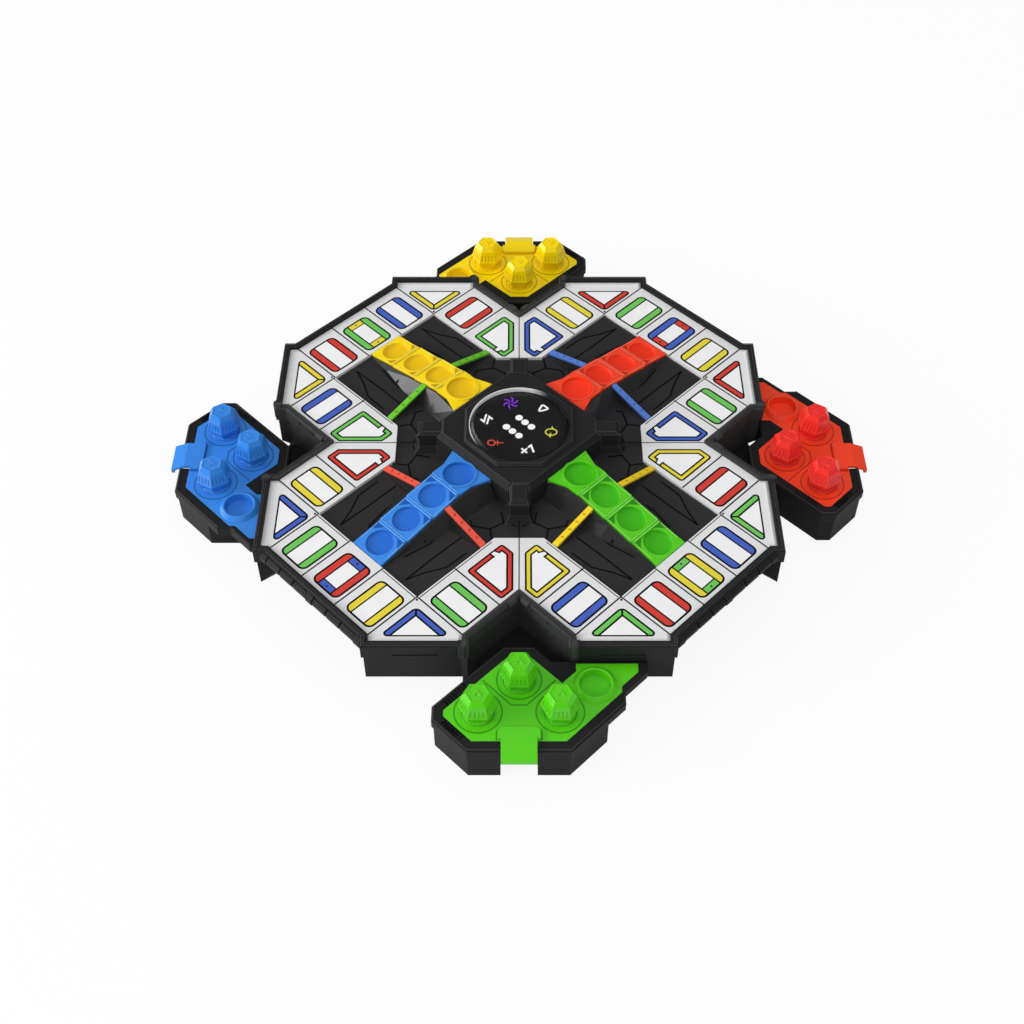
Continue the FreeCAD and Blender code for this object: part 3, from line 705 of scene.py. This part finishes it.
# fine line along the inner edge of the panels and a pin at their corner
innerLine = {"inset": 1.25, "width": 0.5, "from": (58.0, 13.2), "short": 0.6, "pin": (109.1, 38.7),
             "pinRadius": 0.62, "pinRise": 0.12}
for arm in colours:
    u, v = groove["innerEnd"] + innerLine["inset"], groove["innerSide"] + innerLine["inset"]
    for side in (1, -1):
        line = [(innerLine["from"][0], side * v), (groove["innerEnd"] - innerLine["short"], side * v)]
        across = [(u, side * innerLine["from"][1]), (u, side * (groove["innerSide"] - innerLine["short"]))]
        for points, facing in ((line, (0, -side)), (across, (-1, 0))):
            if turnPoint(*facing, armTurn[arm])[1] > 0:  # the photo shows it on the edges that face away
                addRibbon(layers["black"], onArm(points, arm), innerLine["width"], panelTop, inkTop)
        a, b = innerLine["pin"]
        ring = onArm(circle(a, side * b, innerLine["pinRadius"], 12), arm)
        addPrism(layers["black"], ring, panelTop, panelTop + innerLine["pinRise"])

# the board's edge, in its x and y
plan = {"half": 130.0, "notch": 31.0, "near": 27.2, "far": 72.2, "step": 4.1}


def toArm(x, y):  # the same place along an arm's middle line and to its left
    return ((x + y) / math.sqrt(2), (y - x) / math.sqrt(2))


notchSide = (plan["half"] - plan["notch"]) / math.sqrt(2)
outerEdge = (plan["far"] + plan["half"] - plan["step"]) / math.sqrt(2)
outerHalf = (plan["half"] - plan["step"] - plan["far"]) / math.sqrt(2)
halfRim = [(plan["near"] * math.sqrt(2) + notchSide, notchSide), toArm(plan["near"], plan["half"]),
           toArm(plan["far"], plan["half"]), (outerEdge, outerHalf)]
armRim = [(notchSide, -notchSide)] + [(u, -v) for u, v in halfRim] + halfRim[::-1]
wholeRim = [point for arm in colours for point in onArm(armRim, arm)]


def shifted(points, distance, closed=True):  # line moved to its right by a distance
    return ribbonEdges(points, 2 * distance, closed)[1]


# bevelled strips along the ends of the panels, those that lie along the axes
edging = {"outer": 0.05, "inner": 1.7, "rise": 1.0, "sink": 0.02, "skew": 0.1}
outside, inside = [shifted(wholeRim, -edging[edge]) for edge in ("outer", "inner")]
edgingMesh = bmesh.new()
for n, here in enumerate(wholeRim):
    after = (n + 1) % len(wholeRim)
    facing = Vector(wholeRim[after]) - Vector(here)
    if min(abs(facing.x), abs(facing.y)) < edging["skew"]:
        corners = [outside[n], outside[after], inside[after], inside[n]]
        made = addPrism(edgingMesh, corners, panelTop - edging["sink"], panelTop + edging["sink"])
        for vertex in made[-2:]:  # the upper inner corners, so that the strip slopes
            vertex.co.z = panelTop + edging["rise"]
makePiece("panel_edging", edgingMesh, whitePanel, "board")

# cracks of the rocky floors
creases = {
    "width": 0.8,
    "rise": 0.05,
    "plate": 1.1,  # thickness of the floor under them
    "lines": [
        [(104, 24.8), (85, 24.4), (66, 24.7)],
        [(104, 24.8), (94, 28.4), (84.5, 33.4), (71, 33.8)],
        [(95.2, 13.6), (81.2, 16.4), (67, 15.6)],
        [(61, 43), (52, 31), (44, 33), (41, 39)],
        [(52, 31), (57, 23), (55, 19.5)],
        [(44, 33), (40, 27)],
    ],
}
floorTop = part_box("valley_floor_red")[0].z / mm + creases["plate"]
for arm in colours:
    for side in (1, -1):
        for line in creases["lines"]:
            shown = onArm([(u, side * v) for u, v in line], arm)
            addRibbon(layers["crease"], shown, creases["width"], floorTop, floorTop + creases["rise"])
for name, mesh in layers.items():
    makePiece("print_" + name, mesh, inks[name], "board")
print("track printed")

# two fine lips along the top of the rim
lips = {"places": (1.75, 2.75), "width": 0.4, "rise": 0.3, "level": 35.1}
lipMesh = bmesh.new()
for place in lips["places"]:
    line = shifted(wholeRim, place)
    addRibbon(lipMesh, line, lips["width"], lips["level"], lips["level"] + lips["rise"], True)
makePiece("rim_lips", lipMesh, plastic["lip"], "board")
print("rim finished")

# lit symbols of the display
symbols = {
    "rise": 0.08,
    "stroke": 1.0,
    "pipRadius": 2.0,
    "pips": [(0.0, 6.7), (3.15, 3.35), (6.5, 0.0), (-6.7, 0.0), (-3.5, -3.1), (-0.1, -6.4)],
    "whirl": (-4.5, 17.8),
    "blade": [(0.9, 0.0), (2.1, 0.0), (3.2, 0.7), (3.7, 1.9)],
    "over": 1.3,  # what crosses another stroke stands this many times as high
}
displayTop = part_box("display_disc")[1].z / mm
lit = {name: bmesh.new() for name in lights}


def lightUp(name, points, level=1.0):
    addPrism(lit[name], points, displayTop, displayTop + symbols["rise"] * level)


def lightLine(name, points, width=symbols["stroke"], closed=False, level=1.0):
    addRibbon(lit[name], points, width, displayTop, displayTop + symbols["rise"] * level, closed)


for x, y in symbols["pips"]:
    lightUp("white", circle(x, y, symbols["pipRadius"]))
# whirl with six arms
whirlX, whirlY = symbols["whirl"]
for n in range(6):
    blade = [turnPoint(x, y, 60 * n) for x, y in symbols["blade"]]
    lightLine("purple", [(x + whirlX, y + whirlY) for x, y in blade], 0.62)
# triangle
lightLine("white", roundShape([(15.9, 13.3), (12.5, 16.5), (10.0, 11.0)], [0.7] * 3, 3), closed=True)
# loop with arrow heads
lightLine("yellow", circle(16.9, -3.8, 3.0, flatten=0.78), 0.7, True)
lightUp("yellow", [(16.7, -1.9), (18.3, -1.6), (17.5, 0.7)], symbols["over"])
lightUp("yellow", [(17.0, -5.7), (15.5, -5.9), (16.3, -8.2)], symbols["over"])
lightUp("yellow", [(17.0, -5.9), (15.6, -5.9), (16.7, -4.2)], symbols["over"])
# multiplier
lightLine("white", [(1.2, -18.8), (4.2, -15.5)])
lightLine("white", [(1.2, -15.5), (4.2, -18.8)], level=symbols["over"])
lightLine("white", [(4.7, -14.8), (6.2, -13.3), (7.6, -18.2)], 1.1)
# key
lightLine("red", circle(-14.5, -11.5, 1.9, 20), 0.7, True)
lightLine("red", [(-12.4, -11.5), (-8.1, -11.5)], 0.6)
lightLine("red", [(-11.3, -9.7), (-11.3, -13.3)], 0.55, level=symbols["over"])
# a pair of half arrows
lightLine("white", [(-17.5, 9.2), (-18.7, 3.7), (-20.5, 5.7)])
lightLine("white", [(-17.1, 2.0), (-15.9, 7.5), (-14.1, 5.5)])
for name, mesh in lit.items():
    makePiece("symbols_" + name, mesh, lights[name], "press_button")

# edge ring of the clear button with a painted reflection, palest at the upper left, and a faint painted
# glow
lensEdge = {
    "radius": 26.3,
    "wall": 0.25,
    "heights": (45.5, 48.5),
    "pale": tint(236, 233, 234),
    "dark": tint(30, 30, 31),
    "fade": (-16 * mm, -3 * mm),
    "blur": 2 * mm,
    "glow": 0.22,
}


def lensGlareFinish():
    finish = Finish("lensEdge")
    glareNoise = finish.noise(120.0, 2.0)
    across = (finish.axis("X") - finish.axis("Y")) * math.sqrt(0.5) + (glareNoise - 0.5) * lensEdge["blur"]
    # painted reflection: pale towards the upper left, dark elsewhere
    shown = finish.mix(across.ramp(*lensEdge["fade"]), lensEdge["pale"], lensEdge["dark"])
    return finish.surface({
        "Base Color": shown,
        # the same colour glows faintly: a painted glow, no lamp
        "Emission Color": shown,
        "Emission Strength": lensEdge["glow"],
        "Roughness": 0.5 + glareNoise * 0.1,
        "Specular IOR Level": 0.2,
    })


edgeMesh = bmesh.new()
addRibbon(edgeMesh, circle(0, 0, lensEdge["radius"], 72), lensEdge["wall"], *lensEdge["heights"], True)
makePiece("lens_edge", edgeMesh, lensGlareFinish(), "press_button", True)
print("display lit")

# home runways: smooth cups in the sockets, ledges between the tiles and ticks on the straps
runway = {
    "innerEnd": 107.69,
    "pitch": 18.1,
    "count": 3,
    "rise": 0.178,
    "step": 0.9,
    "stepRun": 4.0,
    "cupRadius": 7.42,
    "lastCupRadius": 7.82,
    "socketFloor": -1.4,
    "lip": 0.06,
    "lastLip": 0.66,
}


def cupProfile(radius, floor, lip):  # lip: height of the rim above the surface round the cup
    return [(0, floor), (0, floor + 0.12), (radius * 0.78, floor + 0.12), (radius - 0.5, floor + 0.2),
            (radius - 0.16, floor + 0.5), (radius, lip - 0.12), (radius + 0.16, lip), (radius + 0.42, lip),
            (radius + 0.5, lip - 0.1), (radius + 0.06, lip - 0.14), (radius + 0.05, floor)]


def collarProfile(radius):
    return [(radius + 0.05, -0.4), (radius + 0.05, 0.2), (radius + 0.25, 0.34), (radius + 1.0, 0.34),
            (radius + 1.4, 0.1), (radius + 1.45, -0.4)]


for arm in colours:
    cups, collars = bmesh.new(), bmesh.new()
    rise = runway["rise"] * runway["pitch"]
    tilt = math.atan((rise - runway["step"]) / (runway["pitch"] - runway["stepRun"]))
    for n in range(runway["count"] + 1):
        last = n == runway["count"]
        centre = runway["innerEnd"] - (n + 0.5) * runway["pitch"]
        height = panelTop + n * rise + (0 if last else 0.5 * (rise - runway["step"]))
        lip = runway["lastLip" if last else "lip"]
        radius = runway["lastCupRadius" if last else "cupRadius"]
        made = addTurned(cups, cupProfile(radius, runway["socketFloor"], lip), roundSides)
        lean = Matrix.Rotation(0 if last else tilt, 4, "Y")
        place = turned(armTurn[arm]) @ Matrix.Translation((centre, 0, height)) @ lean
        move(made, place)
        if not last:
            move(addTurned(collars, collarProfile(radius), roundSides), place)
    # the cups take a deeper colour: painted shade in the sockets
    makePiece("runway_cups_" + arm, cups, toned("dark", arm), "board", True)
    makePiece("runway_collars_" + arm, collars, plastic[arm], "board", True)


def addPatch(mesh, corners, depth):  # thin plate under corners given as (u, v, height)
    upper = [mesh.verts.new(corner) for corner in corners]
    lower = [mesh.verts.new((u, v, z - depth)) for u, v, z in corners]
    mesh.faces.new(upper)
    mesh.faces.new(lower[::-1])
    loopFaces(mesh, upper, lower)


ledge = {
    "edge": 9.85,
    "start": 0.3,
    "inside": 3.4,
    "bend": 7.2,
    "reach": 6.6,
    "lift": 0.05,
    "depth": 0.3,
    "brim": 0.4,
    "rib": (-0.2, 1.7),
    "ribRise": 0.4,
    "lines": ((0.35, 0.75), (1.7, 2.1)),
    "glints": ((-0.2, 0.2), (1.1, 1.5)),
    "layer": 0.02,
}


def addStrip(mesh, start, end, v, width, lift):  # band on the runway between two (u, height) places
    corners = [(start[0], v), (start[0], v - width), (end[0], v - width), (end[0], v)]
    heights = (start[1], start[1], end[1], end[1])
    addPatch(mesh, [(u, w, z + lift) for (u, w), z in zip(corners, heights)], ledge["depth"])


for arm in colours:
    facets, lines, glints, ribs = [bmesh.new() for n in range(4)]
    rise, step, run = runway["rise"] * runway["pitch"], runway["step"], runway["stepRun"]
    slope = (rise - step) / (runway["pitch"] - run)
    edge = ledge["edge"]
    for n in range(runway["count"]):
        inner = runway["innerEnd"] - (n + 1) * runway["pitch"]
        top = panelTop + (n + 1) * rise
        low = top - step
        end = low - slope * (ledge["reach"] - run)
        start = inner + ledge["start"]
        for side in (1, -1):
            inside, bend, lift = side * ledge["inside"], side * ledge["bend"], ledge["lift"]
            addPatch(facets, [(start, side * edge, top + lift), (start, inside, top + lift),
                              (inner + run, bend, low + lift), (inner + run, side * edge, low + lift)],
                     ledge["depth"])
            addPatch(facets, [(inner + run, side * edge, low + lift), (inner + run, bend, low + lift),
                              (inner + ledge["reach"], side * edge, end + lift)], ledge["depth"])
            outer = (inner + runway["pitch"], top - rise)
            v = edge if side > 0 else ledge["brim"] - edge
            addStrip(glints, outer, (inner + run, low), v, ledge["brim"], 2 * lift)
            addStrip(glints, (inner + run, low), (inner, top), v, ledge["brim"], 2 * lift)
        strips = [(ribs, ledge["rib"], 0)] + [(lines, pair, 1) for pair in ledge["lines"]]
        for mesh, pair, level in strips + [(glints, pair, 2) for pair in ledge["glints"]]:
            ends = [(inner + place, top - step * place / run) for place in pair]
            addStrip(mesh, *ends, edge, 2 * edge, ledge["ribRise"] + level * ledge["layer"])
    # facets and lines take deeper colours as painted shade at the ledges; glints are painted highlights
    # along the edges
    details = {
        "facets": (facets, toned("shade", arm)),
        "lines": (lines, toned("dark", arm)),
        "glints": (glints, toned("glint", arm)),
        "ribs": (ribs, plastic[arm]),
    }
    for kind, (mesh, finish) in details.items():
        move(mesh.verts, turned(armTurn[arm]))
        makePiece("runway_%s_%s" % (kind, arm), mesh, finish, "board")

# ticks on the straps, between two (side, height) places
strap = {
    "outer": (37.2, 33.6),
    "inner": (10.8, 40.95),
    "middle": 62.44,
    "ticks": (0.2, 0.4, 0.6, 0.8),
    "tick": [(-0.7, -0.4), (0.7, 0.1), (0.7, 0.9), (-0.7, 0.4)],
    "heights": (-0.02, 0.08),
}
for arm in colours:
    ticks = bmesh.new()
    (v0, z0), (v1, z1) = strap["outer"], strap["inner"]
    for side in (1, -1):
        for share in strap["ticks"]:
            made = addPrism(ticks, strap["tick"], *strap["heights"])
            lean = Matrix.Rotation(-side * math.atan2(z1 - z0, v0 - v1), 4, "X")
            v, z = v0 + share * (v1 - v0), z0 + share * (z1 - z0)
            move(made, turned(armTurn[arm]) @ Matrix.Translation((strap["middle"], side * v, z)) @ lean)
    makePiece("strap_ticks_" + arm, ticks, plastic[barColour[arm] + "Groove"], "board")
print("runways fitted")

# trays: cups, a cone round the start socket, fine lines on the plates, lips and vents
tray = {
    "cupRadius": 7.66,
    "depth": 3.5,
    "cone": [(7.95, 1.3), (7.95, 2.02), (8.05, 2.12), (8.5, 2.12), (8.75, 1.95), (10.5, 0.04), (10.5, 0.0),
             (9.0, 0.0)],
    "start": (36.0, -146.5),
    "cupLip": 0.1,
    "startLip": 2.02,
    "places": [(-19.2, -161.3), (19.2, -161.3), (0.0, -143.6)],
    "rings": (11.3, 11.3, 10.7),
    "line": 0.7,
    "markRise": 0.04,
    "lineRise": 0.05,
    "lines": [
        [(-17.5, -143.6), (-3.6, -157.5), (3.6, -157.5), (17.5, -143.6)],
        [(-10.45, -176.8), (-10.45, -171.4), (-8.5, -169.6), (8.5, -169.6), (10.45, -171.4),
         (10.45, -176.8)],
    ],
    "front": [(8.9, -182.5), (24.3, -182.5), (50.3, -156.5)],
    "back": [(-8.9, -182.5), (-24.3, -182.5), (-41.0, -165.8), (-41.0, -158.0), (-7.5, -124.5),
             (7.5, -124.5)],
    "lip": (1.05, 0.5, 0.25),  # distance from the outline, width and height
    "vents": [((-24.3, -182.5), (-41.0, -165.8), 7.0, 7), ((-41.0, -158.0), (-7.5, -124.5), 6.0, 4)],
    "vent": (2.1, 5.3, 0.9, 1.9),  # from and to, in from the outline; width; pitch
}
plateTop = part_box("tray_shell_red")[1].z / mm
markTop = plateTop + tray["markRise"]

for arm in colours:
    fittings, grooves, ribs, slots = [bmesh.new() for n in range(4)]
    turn = turned(trayTurn[arm])
    for x, y in tray["places"] + [tray["start"]]:
        lip = tray["startLip" if (x, y) == tray["start"] else "cupLip"]
        made = addTurned(fittings, cupProfile(tray["cupRadius"], -tray["depth"], lip), roundSides)
        move(made, turn @ Matrix.Translation((x, y, plateTop)))
    made = addTurned(fittings, tray["cone"], roundSides)
    move(made, turn @ Matrix.Translation((*tray["start"], plateTop)))
    # grooves on the plate, drawn as dark ribbons: painted shade
    for (x, y), radius in zip(tray["places"], tray["rings"]):
        addRibbon(grooves, circle(x, y, radius, roundSides), tray["line"], plateTop, markTop, True)
    for line in tray["lines"]:
        addRibbon(grooves, line, tray["line"], plateTop, plateTop + tray["lineRise"])
    move(grooves.verts, turn)
    inset, width, high = tray["lip"]
    for line, side in ((tray["front"], -1), (tray["back"], 1)):
        addRibbon(ribs, shifted(line, side * inset, False), width, plateTop, plateTop + high)
    move(ribs.verts, turn)
    start, stop, wide, pitch = tray["vent"]
    for first, second, skip, count in tray["vents"]:  # rows of slots, drawn as dark lines of painted shade
        along = (Vector(second) - Vector(first)).normalized()
        inward = Vector((along.y, -along.x))
        for n in range(count):
            foot = Vector(first) + along * (skip + n * pitch)
            ends = [tuple(foot + inward * start), tuple(foot + inward * stop)]
            addRibbon(slots, ends, wide, plateTop, markTop)
    move(slots.verts, turn)
    makePiece("tray_vents_" + arm, slots, inks["crease"], "tray_" + arm)
    makePiece("tray_fittings_" + arm, fittings, plastic[arm], "tray_" + arm, True)
    makePiece("tray_grooves_" + arm, grooves, plastic[arm + "Groove"], "tray_" + arm)
    makePiece("tray_lips_" + arm, ribs, plastic["lip"], "tray_" + arm)
print("trays fitted")

# pawns: six-sided playing pieces with grooved faces and softened edges
pawn = {
    "sides": 6,
    "sections": [(-2.9, 7.2), (0.8, 7.4), (6.0, 9.6), (13.4, 7.6), (16.0, 5.5)],  # height and corner radius
    "rows": (0.12, 0.66),
    "flutes": 4,
    "fluteDepth": 0.45,
    "fluteWall": 0.1,
    "bevel": 0.25,
    "foot": [(0, -1.0), (7.5, -1.0), (7.5, 0.2), (7.25, 0.45), (0, 0.45)],
    "crown": (0.7, 0.35),  # width of the crown's rim and depth inside it
    "badge": [(-2.4, -1.6), (0.0, 2.3), (2.4, -1.6), (1.2, -1.6), (0.0, 0.5), (-1.2, -1.6)],
    "badgeHeights": (-0.05, 0.3),
}


def addPawn(mesh):
    sides, columns = pawn["sides"], 2 * pawn["flutes"] + 1
    rings = []
    for z, radius in pawn["sections"]:
        rings.append([mesh.verts.new((x, y, z)) for x, y in circle(0, 0, radius, sides)])
    mesh.faces.new(rings[0][::-1])
    for lower, upper in zip(rings[:2], rings[1:3]):
        loopFaces(mesh, lower, upper)
    loopFaces(mesh, rings[3], rings[4])
    crown = mesh.faces.new(rings[4])
    corners = []
    for low, high in zip(rings[2], rings[3]):
        between = [mesh.verts.new(low.co.lerp(high.co, share)) for share in pawn["rows"]]
        corners.append([low] + between + [high])
    panels = []
    for n in range(sides):
        left, right = corners[n], corners[(n + 1) % sides]
        rows = []
        for r in (1, 2):
            inner = [mesh.verts.new(left[r].co.lerp(right[r].co, c / columns)) for c in range(1, columns)]
            rows.append([left[r]] + inner + [right[r]])
        mesh.faces.new([left[0], right[0]] + rows[0][::-1])
        mesh.faces.new(rows[1] + [right[3], left[3]])
        for c in range(columns):
            face = mesh.faces.new((rows[0][c], rows[0][c + 1], rows[1][c + 1], rows[1][c]))
            if c % 2:
                panels.append(face)
    mesh.normal_update()
    bmesh.ops.inset_individual(mesh, faces=panels, thickness=pawn["fluteWall"], depth=-pawn["fluteDepth"])
    width, depth = pawn["crown"]
    bmesh.ops.inset_individual(mesh, faces=[crown], thickness=width, depth=-depth)
    top = pawn["sections"][-1][0] - depth
    addTurned(mesh, pawn["foot"], 36)
    addPrism(mesh, pawn["badge"], *[top + height for height in pawn["badgeHeights"]])


for arm in colours:
    for n, (x, y) in enumerate(tray["places"]):
        mesh = bmesh.new()
        addPawn(mesh)
        move(mesh.verts, turned(trayTurn[arm]) @ Matrix.Translation((x, y, plateTop)))
        place = "%s_%d" % (arm, n + 1)
        piece = makePiece("playing_piece_" + place, mesh, plastic[arm + "Gloss"], "playing_pawn_" + place)
        bevel = piece.modifiers.new("softened", "BEVEL")
        bevel.width = pawn["bevel"] * mm
        bevel.segments = 2
        bevel.limit_method = "ANGLE"
        bevel.angle_limit = math.radians(28)
        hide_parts("pawn_" + place)
print("pawns made")

# stage, light and camera
stage = {"size": 6.0, "level": -0.0005, "whiteShare": 0.9}
floorMesh = bmesh.new()
bmesh.ops.create_grid(floorMesh, x_segments=1, y_segments=1, size=stage["size"])
floorData = bpy.data.meshes.new("floor")
floorMesh.to_mesh(floorData)
floorMesh.free()
floor = bpy.data.objects.new("floor", floorData)
floor.location.z = stage["level"]
bpy.context.scene.collection.objects.link(floor)

floorLook = Finish("paleFloor")
seen = floorLook.add("ShaderNodeLightPath", None, None, "Is Camera Ray")
throughLens = floorLook.add("ShaderNodeLightPath", None, None, "Is Transmission Ray")
matt = floorLook.add("ShaderNodeBsdfDiffuse", None, {"Color": (0.86, 0.86, 0.86, 1.0)})
white = floorLook.add("ShaderNodeEmission", None, {"Color": (1.0, 1.0, 1.0, 1.0), "Strength": 1.0})
share = seen.maths("MAXIMUM", seen, throughLens) * stage["whiteShare"]
floorLook.output("ShaderNodeOutputMaterial",
                 floorLook.add("ShaderNodeMixShader", None, {0: share, 1: matt, 2: white}))
floorData.materials.append(floorLook.material)


class Sky(Finish):  # the same node tools on the world
    def __init__(self):
        self.world = bpy.data.worlds.new("studio")
        self.world.use_nodes = True
        self.tree = self.world.node_tree
        self.tree.nodes.clear()


# even light all round; what glossy surfaces mirror is dark but for a bright patch low on the left
sky = {"level": 0.55, "glossLow": 4.6, "glossHigh": 0.06, "height": (0.3, 0.65), "left": (-0.95, -0.6),
       "back": (-0.34, -0.14)}
studio = Sky()
cameraRay = studio.add("ShaderNodeLightPath", None, None, "Is Camera Ray")
glossyRay = studio.add("ShaderNodeLightPath", None, None, "Is Glossy Ray")
direction = studio.add("ShaderNodeTexCoord", None, None, "Generated")
ahead, along, height = [studio.add("ShaderNodeSeparateXYZ", None, {0: direction}, axis) for axis in "XYZ"]
low = height.ramp(*sky["height"], 1.0, 0.0) * ahead.ramp(*sky["left"], 1.0, 0.0) * along.ramp(*sky["back"])
mirrorLevel = sky["glossHigh"] + low * (sky["glossLow"] - sky["glossHigh"])
level = cameraRay + (1.0 - cameraRay) * (glossyRay * mirrorLevel + (1.0 - glossyRay) * sky["level"])
background = studio.add("ShaderNodeBackground", None, {"Color": (1.0, 1.0, 1.0, 1.0), "Strength": level})
studio.output("ShaderNodeOutputWorld", background)
bpy.context.scene.world = studio.world


lamps = {
    "softLeft": {"place": (-2.6, -0.43, 1.02), "size": (1.7, 1.1), "power": 52.0, "mirrored": False},
    "overhead": {"place": (0.1, 0.6, 3.0), "size": (2.0, 2.0), "power": 10.0, "mirrored": True},
    "fill": {"place": (0.0, -2.0, 2.2), "size": (1.6, 1.6), "power": 16.0, "mirrored": False},
}
lampAim = Vector((0.0, 0.0, 0.03))
for name, look in lamps.items():
    data = bpy.data.lights.new(name, "AREA")
    data.shape = "RECTANGLE"
    data.size, data.size_y = look["size"]
    data.energy = look["power"]
    lamp = bpy.data.objects.new(name, data)
    lamp.location = look["place"]
    lamp.rotation_euler = (lampAim - Vector(look["place"])).to_track_quat("-Z", "Y").to_euler()
    lamp.visible_glossy = look["mirrored"]
    bpy.context.scene.collection.objects.link(lamp)

# the photo's camera, worked out from the board's square plan
view = {
    "elevation": 47.08,
    "distance": 0.7909,
    "aim": 0.0333,
    "pixels": 1024,
    "focalPixels": 1477.7,
    "axis": (519.11, 442.61),
}
lens = bpy.data.cameras.new("camera")
lens.sensor_width = 36.0
lens.lens = view["focalPixels"] / view["pixels"] * lens.sensor_width
lens.shift_x = 0.5 - view["axis"][0] / view["pixels"]
lens.shift_y = view["axis"][1] / view["pixels"] - 0.5
lens.clip_start = 0.01
camera = bpy.data.objects.new("camera", lens)
raised = math.radians(view["elevation"])
back, up = view["distance"] * math.cos(raised), view["distance"] * math.sin(raised)
camera.location = (0.0, -back, view["aim"] + up)
camera.rotation_euler = (math.pi / 2 - raised, 0.0, 0.0)
bpy.context.scene.collection.objects.link(camera)
bpy.context.scene.camera = camera
bpy.context.scene.view_settings.view_transform = "Standard"
print("stage set")
